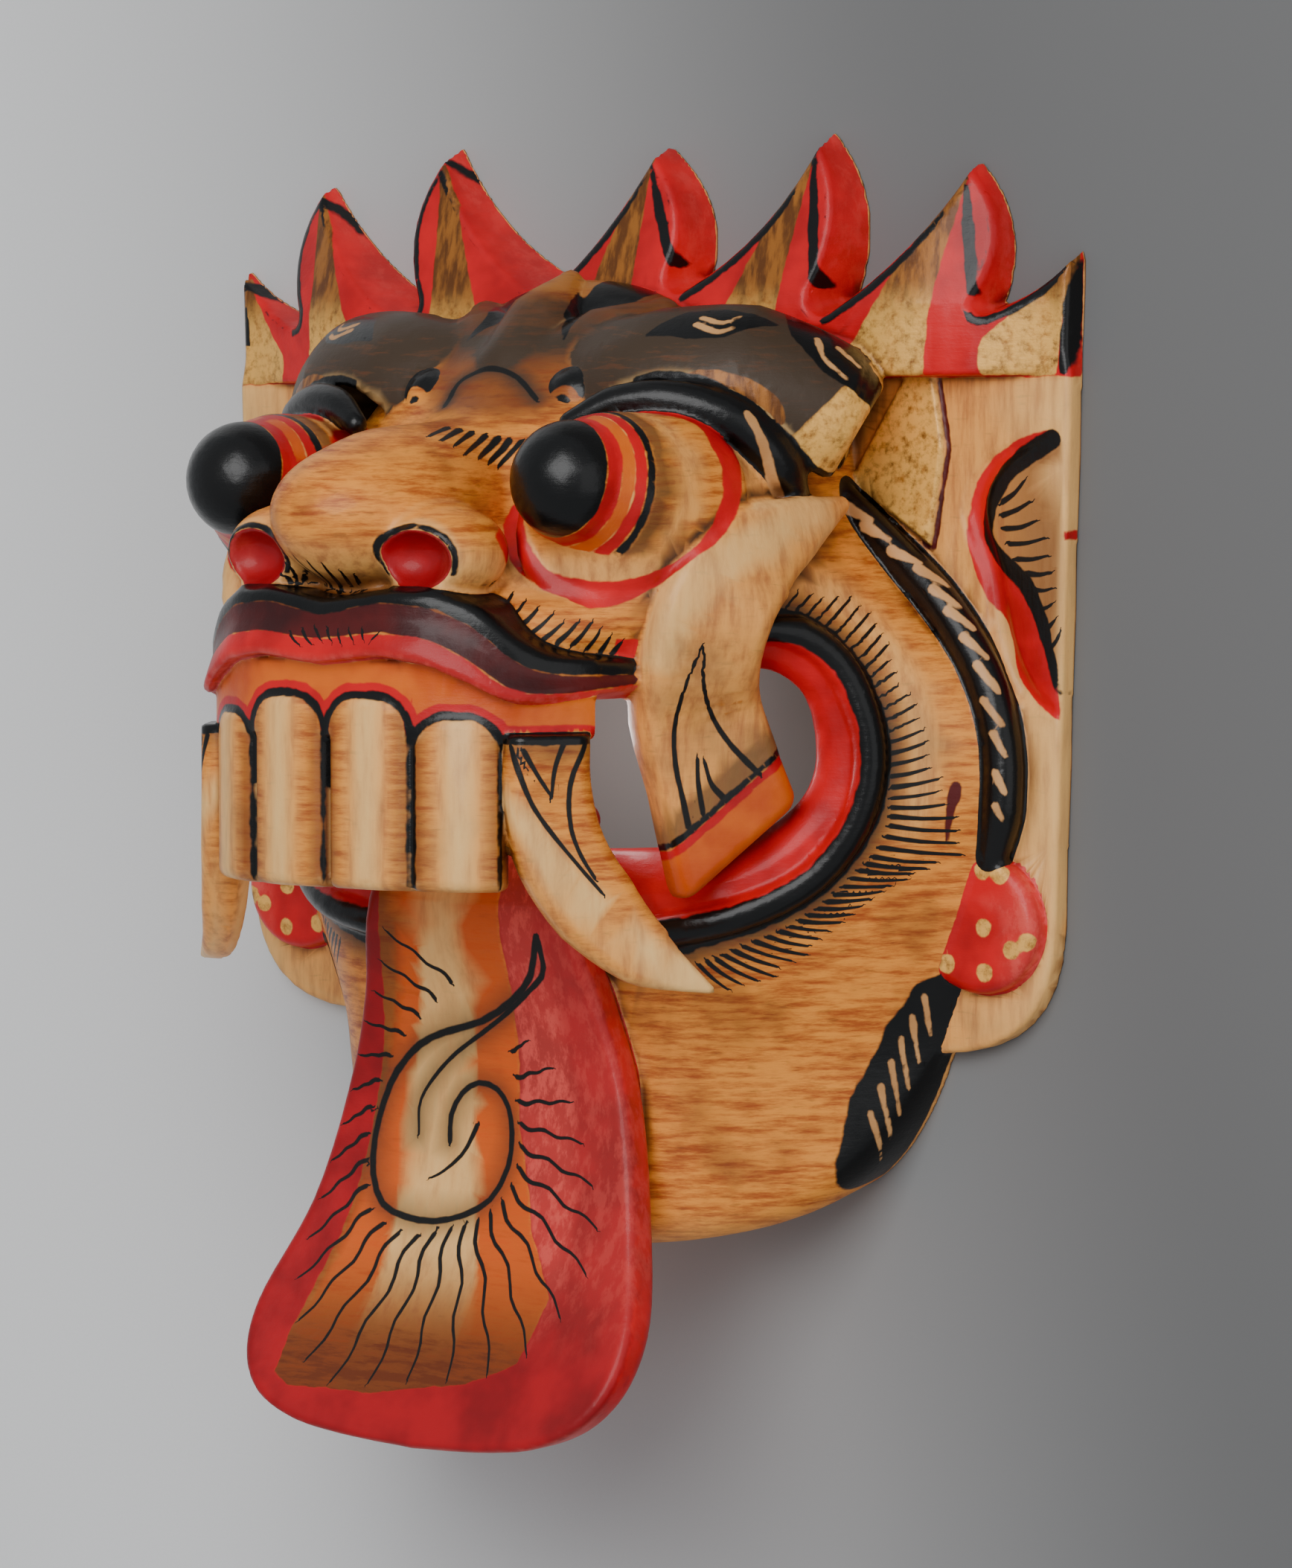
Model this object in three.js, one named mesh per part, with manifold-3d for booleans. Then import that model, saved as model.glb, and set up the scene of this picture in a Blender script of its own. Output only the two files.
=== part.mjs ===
// A carved and painted wooden demon mask, cut from one block and hollow behind.
// It lies on its flat back: +X to the viewer's right, +Y towards the crown, +Z out of the face.
// Sizes are millimetres. Each carved form is a signed distance, negative inside the wood;
// forms are joined and cut as distances, turned into a closed surface and hollowed as solids.
import * as THREE from "three";
import { MarchingCubes } from "three/addons/objects/MarchingCubes.js";
import { mergeVertices } from "three/addons/utils/BufferGeometryUtils.js";
import Module from "manifold-3d";

// Plate with the ears at its sides, and the crown of flames along its top.
const HALF_WIDTH = 110;
const PLATE_BOTTOM = -52;
const PLATE_CORNER = [78, -26];
const PLATE_LOW_HALF = 106;
const PLATE_THICK = 5;
const CROWN_LINE = 85.5;
const CROWN_THICK = 14.5;
const CROWN_EDGE_THICK = 4.5;
const CROWN_LEAN = 0.22;
const CROWN_BEVEL = 0.3;
const FINS = [
  { tip: [HALF_WIDTH, 111], inner: [102, 103], valley: [91, 100] },
  { outer: [98, 116], tip: [85, 129], inner: [74, 112], valley: [55, 102] },
  { outer: [63, 121], tip: [49, 136], inner: [38, 116], valley: [18, 107] },
];
const CENTRE_FIN = { outer: [23, 122], tip: [7, 134.7], inner: [-5, 116] };

// Face by height: angle of the cheek plane, its distance out, centre of the front arc.
const FACE_LEVELS = [-96, -72, -50, -25, 0, 15, 20, 30, 45, 58, 70, 80, 100];
const CHEEK_ANGLE = [41, 41, 41, 43, 45, 42, 39, 32, 14, 3, 2, 3, 10];
const CHEEK_OUT = [60, 61, 63, 69, 73.5, 76, 77, 78, 71.5, 60, 57, 56, 44];
const ARC_CENTRE = [0, 0, 0, 0, 0, 0, 58, 58, 24, 12, 10, 2, -4];
const JAW_FRONT = 50;
const CHIN_BOTTOM = -93;
const CHIN_RISE = 0.2;
const JAW_SIDE = 45;
const JAW_SIDE_RUN = 34.5;
const JAW_SIDE_RISE = 29.5;
const FACE_TOP = 96;

// Mouth: a ridge round it, a lip sloping in and the opening, as seen from the front.
const RING = [
  [60, 35], [66.5, 34], [72, 28], [76, 18], [77, 8], [74, -4], [67, -14.5], [58, -21],
  [46, -25], [28, -28], [0, -30],
];
const RING_RADIUS = 3.4;
const OPENING = [
  [50, 22], [58, 27], [63, 23.5], [65.5, 14], [64, 3], [57, -5], [46, -8.5], [30, -10], [0, -11],
];
const INNER_LIP_WIDE = 9;
const INNER_LIP_DEEP = 6;

// Upper lip by distance from the middle: its top edge, lower edge and how far it stands out.
const LIP_STATIONS = [0, 15, 25, 33, 38.5, 42, 48, 52];
const LIP_TOP = [41.4, 43.6, 43.4, 40.2, 34, 31, 29.5, 28];
const LIP_LOW = [28.8, 30.5, 29, 25.2, 21.6, 21.4, 23, 25];
const LIP_OUT = [3, 3, 3, 2.8, 2.4, 2, 1, 0];
const ROW = [
  [0, 105.2], [10, 105], [20.9, 103.4], [30, 99.3], [38, 94], [43, 87.5], [47, 80.5], [50, 71], [53, 60],
];
const GUM_HALF = 5;
const GUM_MIDDLE = 22;
const GUM_HIGH = 8;
const GUM_END = 79;

// Teeth along the row: where each starts and ends in plan, and its top.
const TOOTH_DEEP = 6;
const TOOTH_BOTTOM = -15.7;
const TEETH = [
  { from: [0, 107.2], to: [20.9, 105.4], top: 22.6 },
  { from: [20.9, 105.4], to: [38, 96.5], top: 18.8 },
];

// Tusk beside the teeth, and the tusk that lies up the cheek.
const TUSK = [[41, 16, 87], [41, 4, 87], [43, -8, 85], [48, -19, 80], [55.5, -28.5, 73.5], [66, -35, 66.5]];
const TUSK_TOP = 15.2;
const TUSK_WIDE = [8.5, 8.8, 9, 8.8, 6.4, 0.8];
const TUSK_THICK = [5, 5, 5, 4.6, 3.4, 0.8];
const TUSK_FACE = [0.82, 0, 0.57];
const CHEEK_TUSK = [
  [57, -11, 45], [54.5, 6, 50], [53, 20, 54.5], [56.5, 31, 57.5], [59.6, 40.7, 56.4], [60.6, 48.6, 48.4],
  [61.6, 54.1, 35.4], [62, 59.1, 19],
];
const CHEEK_TUSK_WIDE = [15, 13.5, 13, 12, 11.5, 10.5, 6.5, 1.5];
const CHEEK_TUSK_THICK = [5, 5, 5, 4.6, 4.4, 4, 3.4, 2];
const CHEEK_TUSK_FACE = [0.84, 0.06, 0.54];
const CHEEK_TUSK_ROOT = { face: [0.378, -0.777, -0.5], out: -4.3 };
const COLLAR_LONG = 8.5;
const COLLAR_STEP = 0.7;

// Tongue along its middle as height and depth, and its half width by height.
const TONGUE = [[-4, 48], [-22, 56], [-40, 51.5], [-58, 49], [-88, 53.5], [-117, 67], [-134, 78]];
const TONGUE_LEVELS = [-131, -130, -127.5, -123, -116, -106, -85, -58, -40, -20, 0];
const TONGUE_WIDE = [4, 18, 32, 42, 47.5, 48.5, 42, 35.5, 30.5, 26, 23];
const TONGUE_HALF = 4.2;
const TONGUE_SCOOP = 0.0022;

// Eyes: a bulging cone ending in a ball, a rim round its foot, the socket under the brow and the lid.
const EYE = [[44, 57, 44], [43.4, 60, 60], [42.7, 63, 72], [42.2, 64.6, 80.5]];
const EYE_RADII = [18.5, 18, 15.6, 11.9];
const RIM_CENTRE = [46, 58.3, 65.4];
const RIM_LONG = [15.4, 0.9, -13.3];
const RIM_HIGH = [0, 17.6, -6.2];
const RIM_RADII = [1.6, 1.4, 1.4, 1.8, 2.6, 3, 2.2, 1.6];
const EYE_FOOT_THICK = 8;
const SOCKET = [[45, 63, 78], [42, 60, 28]];
const SOCKET_RADII = [21.5, 24];
const LID = [[28, 76, 62], [36, 80, 58], [46, 80.5, 53], [56, 76.5, 46], [61.5, 68, 38], [60.5, 60, 30]];
const LID_RADII = [2.4, 3.4, 4, 4.8, 4.6, 3];

// Nose, brows, the knob at the root of the nose and the leaves above it.
const SNOUT = { centre: [0, 58, 84], radii: [20, 15.5, 29.5] };
const BRIDGE = [[0, 61, 84], [0, 66, 58]];
const BRIDGE_RADII = [13, 12];
const WING = { centre: [20, 50.5, 92], radii: [12, 9.5, 13] };
const NOSTRIL = { centre: [21, 49, 104], radii: [8, 5.6, 7] };
const BROW = [[14, 85, 33], [30, 83.5, 35], [47, 82.5, 29], [60, 77, 20], [65, 70, 12]];
const BROW_RADII = [13, 18, 19.5, 16.5, 9];
const BROW_END = { face: [0.707, -0.505, -0.495], out: 1 };
const KNOB = { centre: [0, 80.5, 43], radii: [13, 8.2, 11.5] };
const CURL = { centre: [18.5, 81.5, 48.5], radii: [5.6, 5.6, 5] };
const LEAVES = [
  { line: [[0, 86, 42], [0, 97, 34], [0, 105.5, 26]], radii: [10, 8, 2.5] },
  { line: [[7, 85, 40], [16, 92, 33], [23, 98, 25]], radii: [9, 8.5, 4] },
];
const LEAF_BACK = { centre: [0, 93, 20], radii: [27, 13, 13] };

// Hair band between cheek and ear, ear hollow, earring and the panel under the crown.
const BAND = [
  [56, 62, 9], [67, 52, 8], [80, 40.5, 8], [90.5, 26.5, 8], [95.3, 12.4, 8], [95.5, -2, 8], [93, -11, 7],
];
const BAND_RADII = [3, 3.8, 4, 4, 4, 4, 3];
const EAR = [
  [104.5, 74, 6], [90, 67, 6], [86.5, 58, 6], [91, 46, 6], [93.5, 33, 6], [98, 23, 6], [107, 17.5, 6],
];
const EAR_RADII = [0.8, 2.4, 3, 2.4, 2.8, 3, 1];
const EARRING = { centre: [90, -25], radius: 14, top: 9.5 };
const PANEL = [[70, 86], [77.5, 86], [80, 71], [76.5, 51], [56, 64]];
const PANEL_OUT = 1.3;

// Hollow behind the face.
const WALL = 9;
const HOLLOW_TOP = 80;
const HOLLOW_LOW = -80;

// Fineness of the carved surface.
const CELLS = 128;
const HOLLOW_CELLS = 64;
const CARVED_TRIANGLES = 8300;
const HOLLOW_TRIANGLES = 700;
const BACK_SPARE = 4;
const CLOSEST = 0.02;

const clamp = THREE.MathUtils.clamp;
const lerp = THREE.MathUtils.lerp;
const ramp = THREE.MathUtils.smoothstep;
const join = (a, b, k) => {
  const h = Math.max(k - Math.abs(a - b), 0) / k;
  return Math.min(a, b) - h * h * k * 0.25;
};
const cut = (a, b, k) => -join(-a, b, k);
const meet = (a, b, k) => -join(-a, -b, k);
const corner = (a, b, r) => {
  const u = a + r;
  const v = b + r;
  return Math.hypot(Math.max(u, 0), Math.max(v, 0)) + Math.min(Math.max(u, v), 0) - r;
};

// Value along a row of stations, its kinks eased over a few millimetres.
function profile(stations, values, ease) {
  const line = new THREE.LinearInterpolant(stations, values, 1);
  const first = stations[0];
  const last = stations[stations.length - 1];
  const step = 0.5;
  const count = Math.ceil((last - first) / step) + 1;
  const table = [];
  for (let i = 0; i < count; i += 1) {
    let sum = 0;
    for (let j = -4; j <= 4; j += 1) {
      sum += line.evaluate(clamp(first + i * step + (j * ease) / 4, first, last))[0];
    }
    table.push(sum / 9);
  }
  return (s) => {
    const f = clamp((s - first) / step, 0, count - 1.001);
    const i = Math.floor(f);
    return lerp(table[i], table[i + 1], f - i);
  };
}

const along = (values, t) => {
  const f = clamp(t, 0, 1) * (values.length - 1);
  const i = Math.min(Math.floor(f), values.length - 2);
  return lerp(values[i], values[i + 1], f - i);
};

const ellipsoid = ({ centre, radii }) => (x, y, z) => {
  const ux = (x - centre[0]) / radii[0];
  const uy = (y - centre[1]) / radii[1];
  const uz = (z - centre[2]) / radii[2];
  const k = Math.hypot(ux, uy, uz);
  const g = Math.hypot(ux / radii[0], uy / radii[1], uz / radii[2]);
  return g > 1e-9 ? (k * (k - 1)) / g : -Math.min(...radii);
};

// Ellipsoid with two given half axes and a thickness square to both.
function lens(centre, long, high, thick) {
  const u = new THREE.Vector3(...long);
  const v = new THREE.Vector3(...high);
  const w = u.clone().cross(v).setLength(thick);
  const inward = new THREE.Matrix3(u.x, v.x, w.x, u.y, v.y, w.y, u.z, v.z, w.z).invert();
  const back = inward.clone().transpose();
  const q = new THREE.Vector3();
  return (x, y, z) => {
    q.set(x - centre[0], y - centre[1], z - centre[2]).applyMatrix3(inward);
    const k = q.length();
    const g = q.applyMatrix3(back).length();
    return g > 1e-9 ? (k * (k - 1)) / g : -thick;
  };
}

// Nearest place on a bent centre line: the offset from it and how far along it lies, 0 to 1.
function centreLine(points, steps) {
  const vectors = points.map((p) => new THREE.Vector3(...p));
  const dots = new THREE.CatmullRomCurve3(vectors, false, "centripetal").getPoints(steps);
  const found = { at: 0, x: 0, y: 0, z: 0, far: 0 };
  return (x, y, z) => {
    let best = Infinity;
    for (let i = 0; i < steps; i += 1) {
      const a = dots[i];
      const b = dots[i + 1];
      const ex = b.x - a.x;
      const ey = b.y - a.y;
      const ez = b.z - a.z;
      const px = x - a.x;
      const py = y - a.y;
      const pz = z - a.z;
      const t = clamp((px * ex + py * ey + pz * ez) / (ex * ex + ey * ey + ez * ez), 0, 1);
      const qx = px - ex * t;
      const qy = py - ey * t;
      const qz = pz - ez * t;
      const d = qx * qx + qy * qy + qz * qz;
      if (d < best) {
        best = d;
        found.at = (i + t) / steps;
        found.x = qx;
        found.y = qy;
        found.z = qz;
      }
    }
    found.far = Math.sqrt(best);
    return found;
  };
}

// Round rod along a centre line, its radius listed along the way.
function rod(points, radii, steps = 18) {
  const line = centreLine(points, steps);
  return (x, y, z) => {
    const p = line(x, y, z);
    return p.far - along(radii, p.at);
  };
}

// Flat-faced horn along a centre line: half widths, half thicknesses and the way it faces.
function horn(points, widths, thicks, facing, steps = 20) {
  const line = centreLine(points, steps);
  const n = new THREE.Vector3(...facing).normalize();
  return (x, y, z) => {
    const p = line(x, y, z);
    const out = p.x * n.x + p.y * n.y + p.z * n.z;
    const side = Math.sqrt(Math.max(p.far * p.far - out * out, 0));
    const w = along(widths, p.at);
    const h = along(thicks, p.at);
    return corner(side - w, Math.abs(out) - h, Math.min(w, h) * 0.7);
  };
}

// Signed distance in the plane to a closed outline.
function flatOutline(points) {
  const n = points.length;
  return (x, y) => {
    let best = Infinity;
    let inside = false;
    for (let i = 0, j = n - 1; i < n; j = i, i += 1) {
      const a = points[i];
      const b = points[j];
      const ex = b.x - a.x;
      const ey = b.y - a.y;
      const wx = x - a.x;
      const wy = y - a.y;
      const t = clamp((wx * ex + wy * ey) / Math.max(ex * ex + ey * ey, 1e-9), 0, 1);
      const dx = wx - ex * t;
      const dy = wy - ey * t;
      best = Math.min(best, dx * dx + dy * dy);
      if (a.y > y !== b.y > y && x < ((b.x - a.x) * (y - a.y)) / (b.y - a.y) + a.x) inside = !inside;
    }
    return inside ? -Math.sqrt(best) : Math.sqrt(best);
  };
}

function plateOutline() {
  const s = new THREE.Shape();
  const mirror = ([x, y]) => [-x, y];
  s.moveTo(PLATE_CORNER[0], PLATE_BOTTOM);
  s.quadraticCurveTo(PLATE_LOW_HALF - 1, PLATE_BOTTOM + 1, PLATE_LOW_HALF, PLATE_CORNER[1]);
  s.lineTo(...FINS[0].tip);
  s.quadraticCurveTo(...FINS[0].inner, ...FINS[0].valley);
  for (const f of FINS.slice(1)) {
    s.quadraticCurveTo(...f.outer, ...f.tip);
    s.quadraticCurveTo(...f.inner, ...f.valley);
  }
  s.quadraticCurveTo(...CENTRE_FIN.outer, ...CENTRE_FIN.tip);
  s.quadraticCurveTo(...CENTRE_FIN.inner, ...mirror(FINS[2].valley));
  for (let i = 2; i > 0; i -= 1) {
    s.quadraticCurveTo(...mirror(FINS[i].inner), ...mirror(FINS[i].tip));
    s.quadraticCurveTo(...mirror(FINS[i].outer), ...mirror(FINS[i - 1].valley));
  }
  s.quadraticCurveTo(...mirror(FINS[0].inner), ...mirror(FINS[0].tip));
  s.lineTo(-PLATE_LOW_HALF, PLATE_CORNER[1]);
  s.quadraticCurveTo(1 - PLATE_LOW_HALF, PLATE_BOTTOM + 1, -PLATE_CORNER[0], PLATE_BOTTOM);
  s.closePath();
  return flatOutline(s.getPoints(6));
}

const outline = plateOutline();
const panel = flatOutline(PANEL.map((p) => new THREE.Vector2(...p)));
const earHollow = rod(EAR, EAR_RADII);
function plate(x, y, z) {
  if (z > 26) return z - 18;
  const side = Math.abs(x);
  const slope = lerp(CROWN_THICK, CROWN_EDGE_THICK, ramp(side, 68, 111));
  const crown = slope - CROWN_LEAN * Math.max(0, y - 100);
  const low = PLATE_THICK + PANEL_OUT * (1 - ramp(panel(side, y), -0.8, 0.2));
  const edge = outline(x, y) + CROWN_BEVEL * z * ramp(y, 84, 92);
  const flames = meet(meet(edge, z - crown, 1.2), CROWN_LINE - y, 1.2);
  const d = Math.min(meet(edge, z - low, 1.2), flames);
  return cut(d, earHollow(side, y, z), 1);
}

// The head in plan: an arc in front running into a straight cheek plane at each side.
const cheekAngle = profile(FACE_LEVELS, CHEEK_ANGLE.map(THREE.MathUtils.degToRad), 5);
const cheekOut = profile(FACE_LEVELS, CHEEK_OUT, 5);
const arcCentre = profile(FACE_LEVELS, ARC_CENTRE, 1.5);
function wedge(x, y, z) {
  const a = cheekAngle(y);
  const nx = Math.cos(a);
  const nz = Math.sin(a);
  const out = cheekOut(y);
  const zc = arcCentre(y);
  if (x * nz < (z - zc) * nx) return Math.hypot(x, z - zc) - (out - zc * nz);
  return x * nx + z * nz - out;
}

function head(x, y, z) {
  const jaw = lerp(z - JAW_FRONT, -60, ramp(y, 12, 19));
  const run = Math.max(x - JAW_SIDE, 0) / JAW_SIDE_RUN;
  const floor = CHIN_BOTTOM + CHIN_RISE * (JAW_FRONT - z) + JAW_SIDE_RISE * run ** 2.6;
  const d = meet(wedge(x, y, z), jaw, 14);
  return meet(meet(d, floor - y, 9), y - FACE_TOP, 10);
}

// Height of the head's surface over a place on the plan.
function onHead(x, y) {
  let low = 0;
  let high = 130;
  for (let i = 0; i < 24; i += 1) {
    const mid = (low + high) / 2;
    if (head(x, y, mid) > 0) high = mid;
    else low = mid;
  }
  return low;
}

function openingOutline() {
  const s = new THREE.Shape();
  s.moveTo(-OPENING[0][0], OPENING[0][1]);
  s.lineTo(...OPENING[0]);
  s.splineThru(OPENING.slice(1).map((p) => new THREE.Vector2(...p)));
  s.lineTo(-OPENING[0][0], OPENING[OPENING.length - 1][1]);
  s.closePath();
  return flatOutline(s.getPoints(20));
}
const opening = openingOutline();
const ring = rod(
  RING.map(([x, y]) => [x, y, onHead(x, y) + 0.4]),
  [1.2, ...RING.slice(2).map(() => RING_RADIUS), RING_RADIUS],
  28,
);

// Plan of the front of the mouth, that lip, gum and teeth follow.
function rowOutline() {
  const s = new THREE.Shape();
  s.moveTo(-20.9, 60);
  s.lineTo(-ROW[2][0], ROW[2][1]);
  s.splineThru([[-10, ROW[1][1]], ...ROW].map((p) => new THREE.Vector2(...p)));
  s.closePath();
  return flatOutline(s.getPoints(20));
}
const row = rowOutline();

const lipTop = profile(LIP_STATIONS, LIP_TOP, 2);
const lipLow = profile(LIP_STATIONS, LIP_LOW, 2);
const lipOut = profile(LIP_STATIONS, LIP_OUT, 2);
function lip(x, y, z) {
  if (z < 40 || y < 8 || y > 56) return 12;
  const high = (lipTop(x) - lipLow(x)) / 2;
  const v = (y - (lipTop(x) + lipLow(x)) / 2) / high;
  const swell = lipOut(x) * (0.8 - 0.6 * v);
  return corner(Math.abs(v * high) - high, row(x, z) - swell, 2.2);
}

// Gum: a band round the front of the muzzle that the teeth hang from.
function gum(x, y, z) {
  if (z < 60) return 20;
  const around = Math.abs(row(x, z) + GUM_HALF) - GUM_HALF;
  return Math.max(corner(Math.abs(y - GUM_MIDDLE) - GUM_HIGH, around, 1.5), GUM_END - z);
}

function tooth({ from, to, top }) {
  const half = Math.hypot(to[0] - from[0], to[1] - from[1]) / 2;
  const ux = (to[0] - from[0]) / half / 2;
  const uz = (to[1] - from[1]) / half / 2;
  const cx = (from[0] + to[0]) / 2;
  const cz = (from[1] + to[1]) / 2;
  const mid = (top + TOOTH_BOTTOM) / 2;
  const high = (top - TOOTH_BOTTOM) / 2;
  return (x, y, z) => {
    const u = (x - cx) * ux + (z - cz) * uz;
    const w = (z - cz) * ux - (x - cx) * uz + TOOTH_DEEP;
    const v = y - mid;
    const face = corner(Math.abs(u) - half + 0.4, Math.abs(v) - high, v > 0 ? 7.5 : 1.5);
    return meet(face, Math.abs(w) - TOOTH_DEEP + 0.02 * u * u, 3);
  };
}
const teeth = TEETH.map(tooth);
const tuskHorn = horn(TUSK, TUSK_WIDE, TUSK_THICK, TUSK_FACE);
const tusk = (x, y, z) => meet(tuskHorn(x, y, z), y - TUSK_TOP, 1);
const cheekHorn = horn(CHEEK_TUSK, CHEEK_TUSK_WIDE, CHEEK_TUSK_THICK, CHEEK_TUSK_FACE, 24);
// The cheek tusk ends in a slanted edge, below which the gum it stands in is a little lower.
function cheekTusk(x, y, z) {
  const [rx, ry, rz] = CHEEK_TUSK_ROOT.face;
  const past = x * rx + y * ry + z * rz - CHEEK_TUSK_ROOT.out;
  const d = cheekHorn(x, y, z);
  return join(meet(d, past, 1), corner(d + COLLAR_STEP, past - COLLAR_LONG, 2.5), 0.6);
}

const tongueLine = centreLine(TONGUE.map(([y, z]) => [0, y, z]), 24);
const tongueWide = profile(TONGUE_LEVELS, TONGUE_WIDE, 0.6);
function tongue(x, y, z) {
  const p = tongueLine(0, y, z);
  const lift = (p.z < 0 ? -p.far : p.far) - TONGUE_SCOOP * x * x;
  const side = (x - tongueWide(y)) * (y < -106 ? lerp(0.45, 1, clamp((y + 131) / 25, 0, 1)) : 1);
  const edge = Math.max(side, TONGUE_LEVELS[0] - y);
  return corner(edge, Math.abs(lift) - TONGUE_HALF, 2.5);
}

const eye = rod(EYE, EYE_RADII, 10);
const lid = rod(LID, LID_RADII, 14);
const socket = rod(SOCKET, SOCKET_RADII, 1);
const rimLine = [];
for (let i = 0; i <= 16; i += 1) {
  const a = (i / 16) * Math.PI * 2;
  rimLine.push(RIM_CENTRE.map((c, k) => c + RIM_LONG[k] * Math.cos(a) + RIM_HIGH[k] * Math.sin(a)));
}
const eyeRim = rod(rimLine, RIM_RADII, 28);
const eyeFoot = lens(RIM_CENTRE, RIM_LONG, RIM_HIGH, EYE_FOOT_THICK);
const snout = ellipsoid(SNOUT);
const bridge = rod(BRIDGE, BRIDGE_RADII, 1);
const wing = ellipsoid(WING);
const nostril = ellipsoid(NOSTRIL);
const browRoll = rod(BROW, BROW_RADII);
function brow(x, y, z) {
  const [ex, ey, ez] = BROW_END.face;
  const d = meet(browRoll(x, y, z), x * ex + y * ey + z * ez - BROW_END.out, 1.5);
  return cut(d, socket(x, y, z), 1);
}
const knob = ellipsoid(KNOB);
const curl = ellipsoid(CURL);
const leaves = LEAVES.map((l) => rod(l.line, l.radii, 8));
const leafBack = ellipsoid(LEAF_BACK);
const band = rod(BAND, BAND_RADII);
const earring = (x, y, z) => {
  const d = Math.hypot(x - EARRING.centre[0], y - EARRING.centre[1]) - EARRING.radius;
  return corner(d, z - EARRING.top, 2.5);
};

// Distance to the carved wood before it is hollowed.
function carving(xs, y, z) {
  const x = Math.abs(xs);
  const m = opening(x, y);
  const slope = INNER_LIP_DEEP * clamp(1 - m / INNER_LIP_WIDE, 0, 1) ** 1.4;
  const below = 1 - ramp(y, 14, 20) * (1 - ramp(x, 52, 58));
  let d = join(head(x, y, z) + slope * below, ring(x, y, z), 1.2);
  d = join(cut(d, m, 1.5), gum(x, y, z), 1.5);
  d = join(d, lip(x, y, z), 1.5);
  d = join(d, snout(x, y, z), 5);
  d = join(d, bridge(x, y, z), 6);
  d = join(d, wing(x, y, z), 3);
  d = cut(d, nostril(x, y, z), 1.2);
  d = join(d, brow(x, y, z), 2);
  d = join(d, join(eye(x, y, z), eyeFoot(x, y, z), 4), 2.5);
  d = join(d, eyeRim(x, y, z), 1.2);
  d = join(d, lid(x, y, z), 3);
  d = join(d, leafBack(x, y, z), 2);
  for (const l of leaves) d = join(d, l(x, y, z), 2);
  d = join(d, knob(x, y, z), 1.5);
  d = join(d, curl(x, y, z), 1);
  for (const t of teeth) d = join(d, t(x, y, z), 0.8);
  d = join(d, tusk(x, y, z), 1);
  d = join(d, cheekTusk(x, y, z), 1);
  d = join(d, tongue(x, y, z), 1);
  d = join(d, Math.min(plate(xs, y, z), earring(x, y, z)), 1.5);
  return Math.max(join(d, band(x, y, z), 2), -z - BACK_SPARE);
}

// Distance to the wearer's side of the wall, open at the back.
function hollow(xs, y, z) {
  const x = Math.abs(xs);
  const inside = head(x, clamp(y, CHIN_BOTTOM, 78), Math.max(z, 0)) + WALL;
  const ends = Math.max(y - HOLLOW_TOP, HOLLOW_LOW - y);
  return Math.max(meet(inside, ends, 16), -z - BACK_SPARE - 1);
}

// Closed surface of a distance field over a box.
function surface(field, box, cells) {
  const cubes = new MarchingCubes(cells, new THREE.MeshBasicMaterial(), false, false, 40 * cells * cells);
  const size = box.getSize(new THREE.Vector3());
  const middle = box.getCenter(new THREE.Vector3());
  const place = (i, axis) => (i / cells - 0.5) * size[axis] + middle[axis];
  const block = 8;
  const reach = (0.75 * block * size.length()) / cells;
  for (let k = 0; k < cells; k += block) {
    for (let j = 0; j < cells; j += block) {
      for (let i = 0; i < cells; i += block) {
        const inner = field(place(i + 3.5, "x"), place(j + 3.5, "y"), place(k + 3.5, "z"));
        const near = Math.abs(inner) < reach;
        for (let n = 0; n < block ** 3; n += 1) {
          const a = i + (n % block);
          const b = j + (Math.floor(n / block) % block);
          const c = k + Math.floor(n / block / block);
          const d = near ? field(place(a, "x"), place(b, "y"), place(c, "z")) : inner;
          cubes.field[(c * cells + b) * cells + a] = Math.abs(d) < CLOSEST ? -CLOSEST : -d;
        }
      }
    }
  }
  cubes.isolation = 0;
  cubes.update();
  const bare = new THREE.BufferGeometry();
  bare.setAttribute("position", new THREE.BufferAttribute(cubes.positionArray.slice(0, cubes.count * 3), 3));
  const merged = mergeVertices(bare, 1e-6);
  merged.scale(size.x / 2, size.y / 2, size.z / 2);
  merged.translate(middle.x, middle.y, middle.z);
  return merged;
}

// Cheapest-edge heap for the thinning below.
class Heap {
  constructor() {
    this.items = [];
  }
  push(item) {
    const q = this.items;
    let i = q.push(item) - 1;
    while (i > 0) {
      const up = (i - 1) >> 1;
      if (q[up].cost <= item.cost) break;
      q[i] = q[up];
      i = up;
    }
    q[i] = item;
  }
  pop() {
    const q = this.items;
    const top = q[0];
    const last = q.pop();
    if (!q.length) return top;
    let i = 0;
    for (;;) {
      let c = 2 * i + 1;
      if (c >= q.length) break;
      if (c + 1 < q.length && q[c + 1].cost < q[c].cost) c += 1;
      if (q[c].cost >= last.cost) break;
      q[i] = q[c];
      i = c;
    }
    q[i] = last;
    return top;
  }
}

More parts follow.
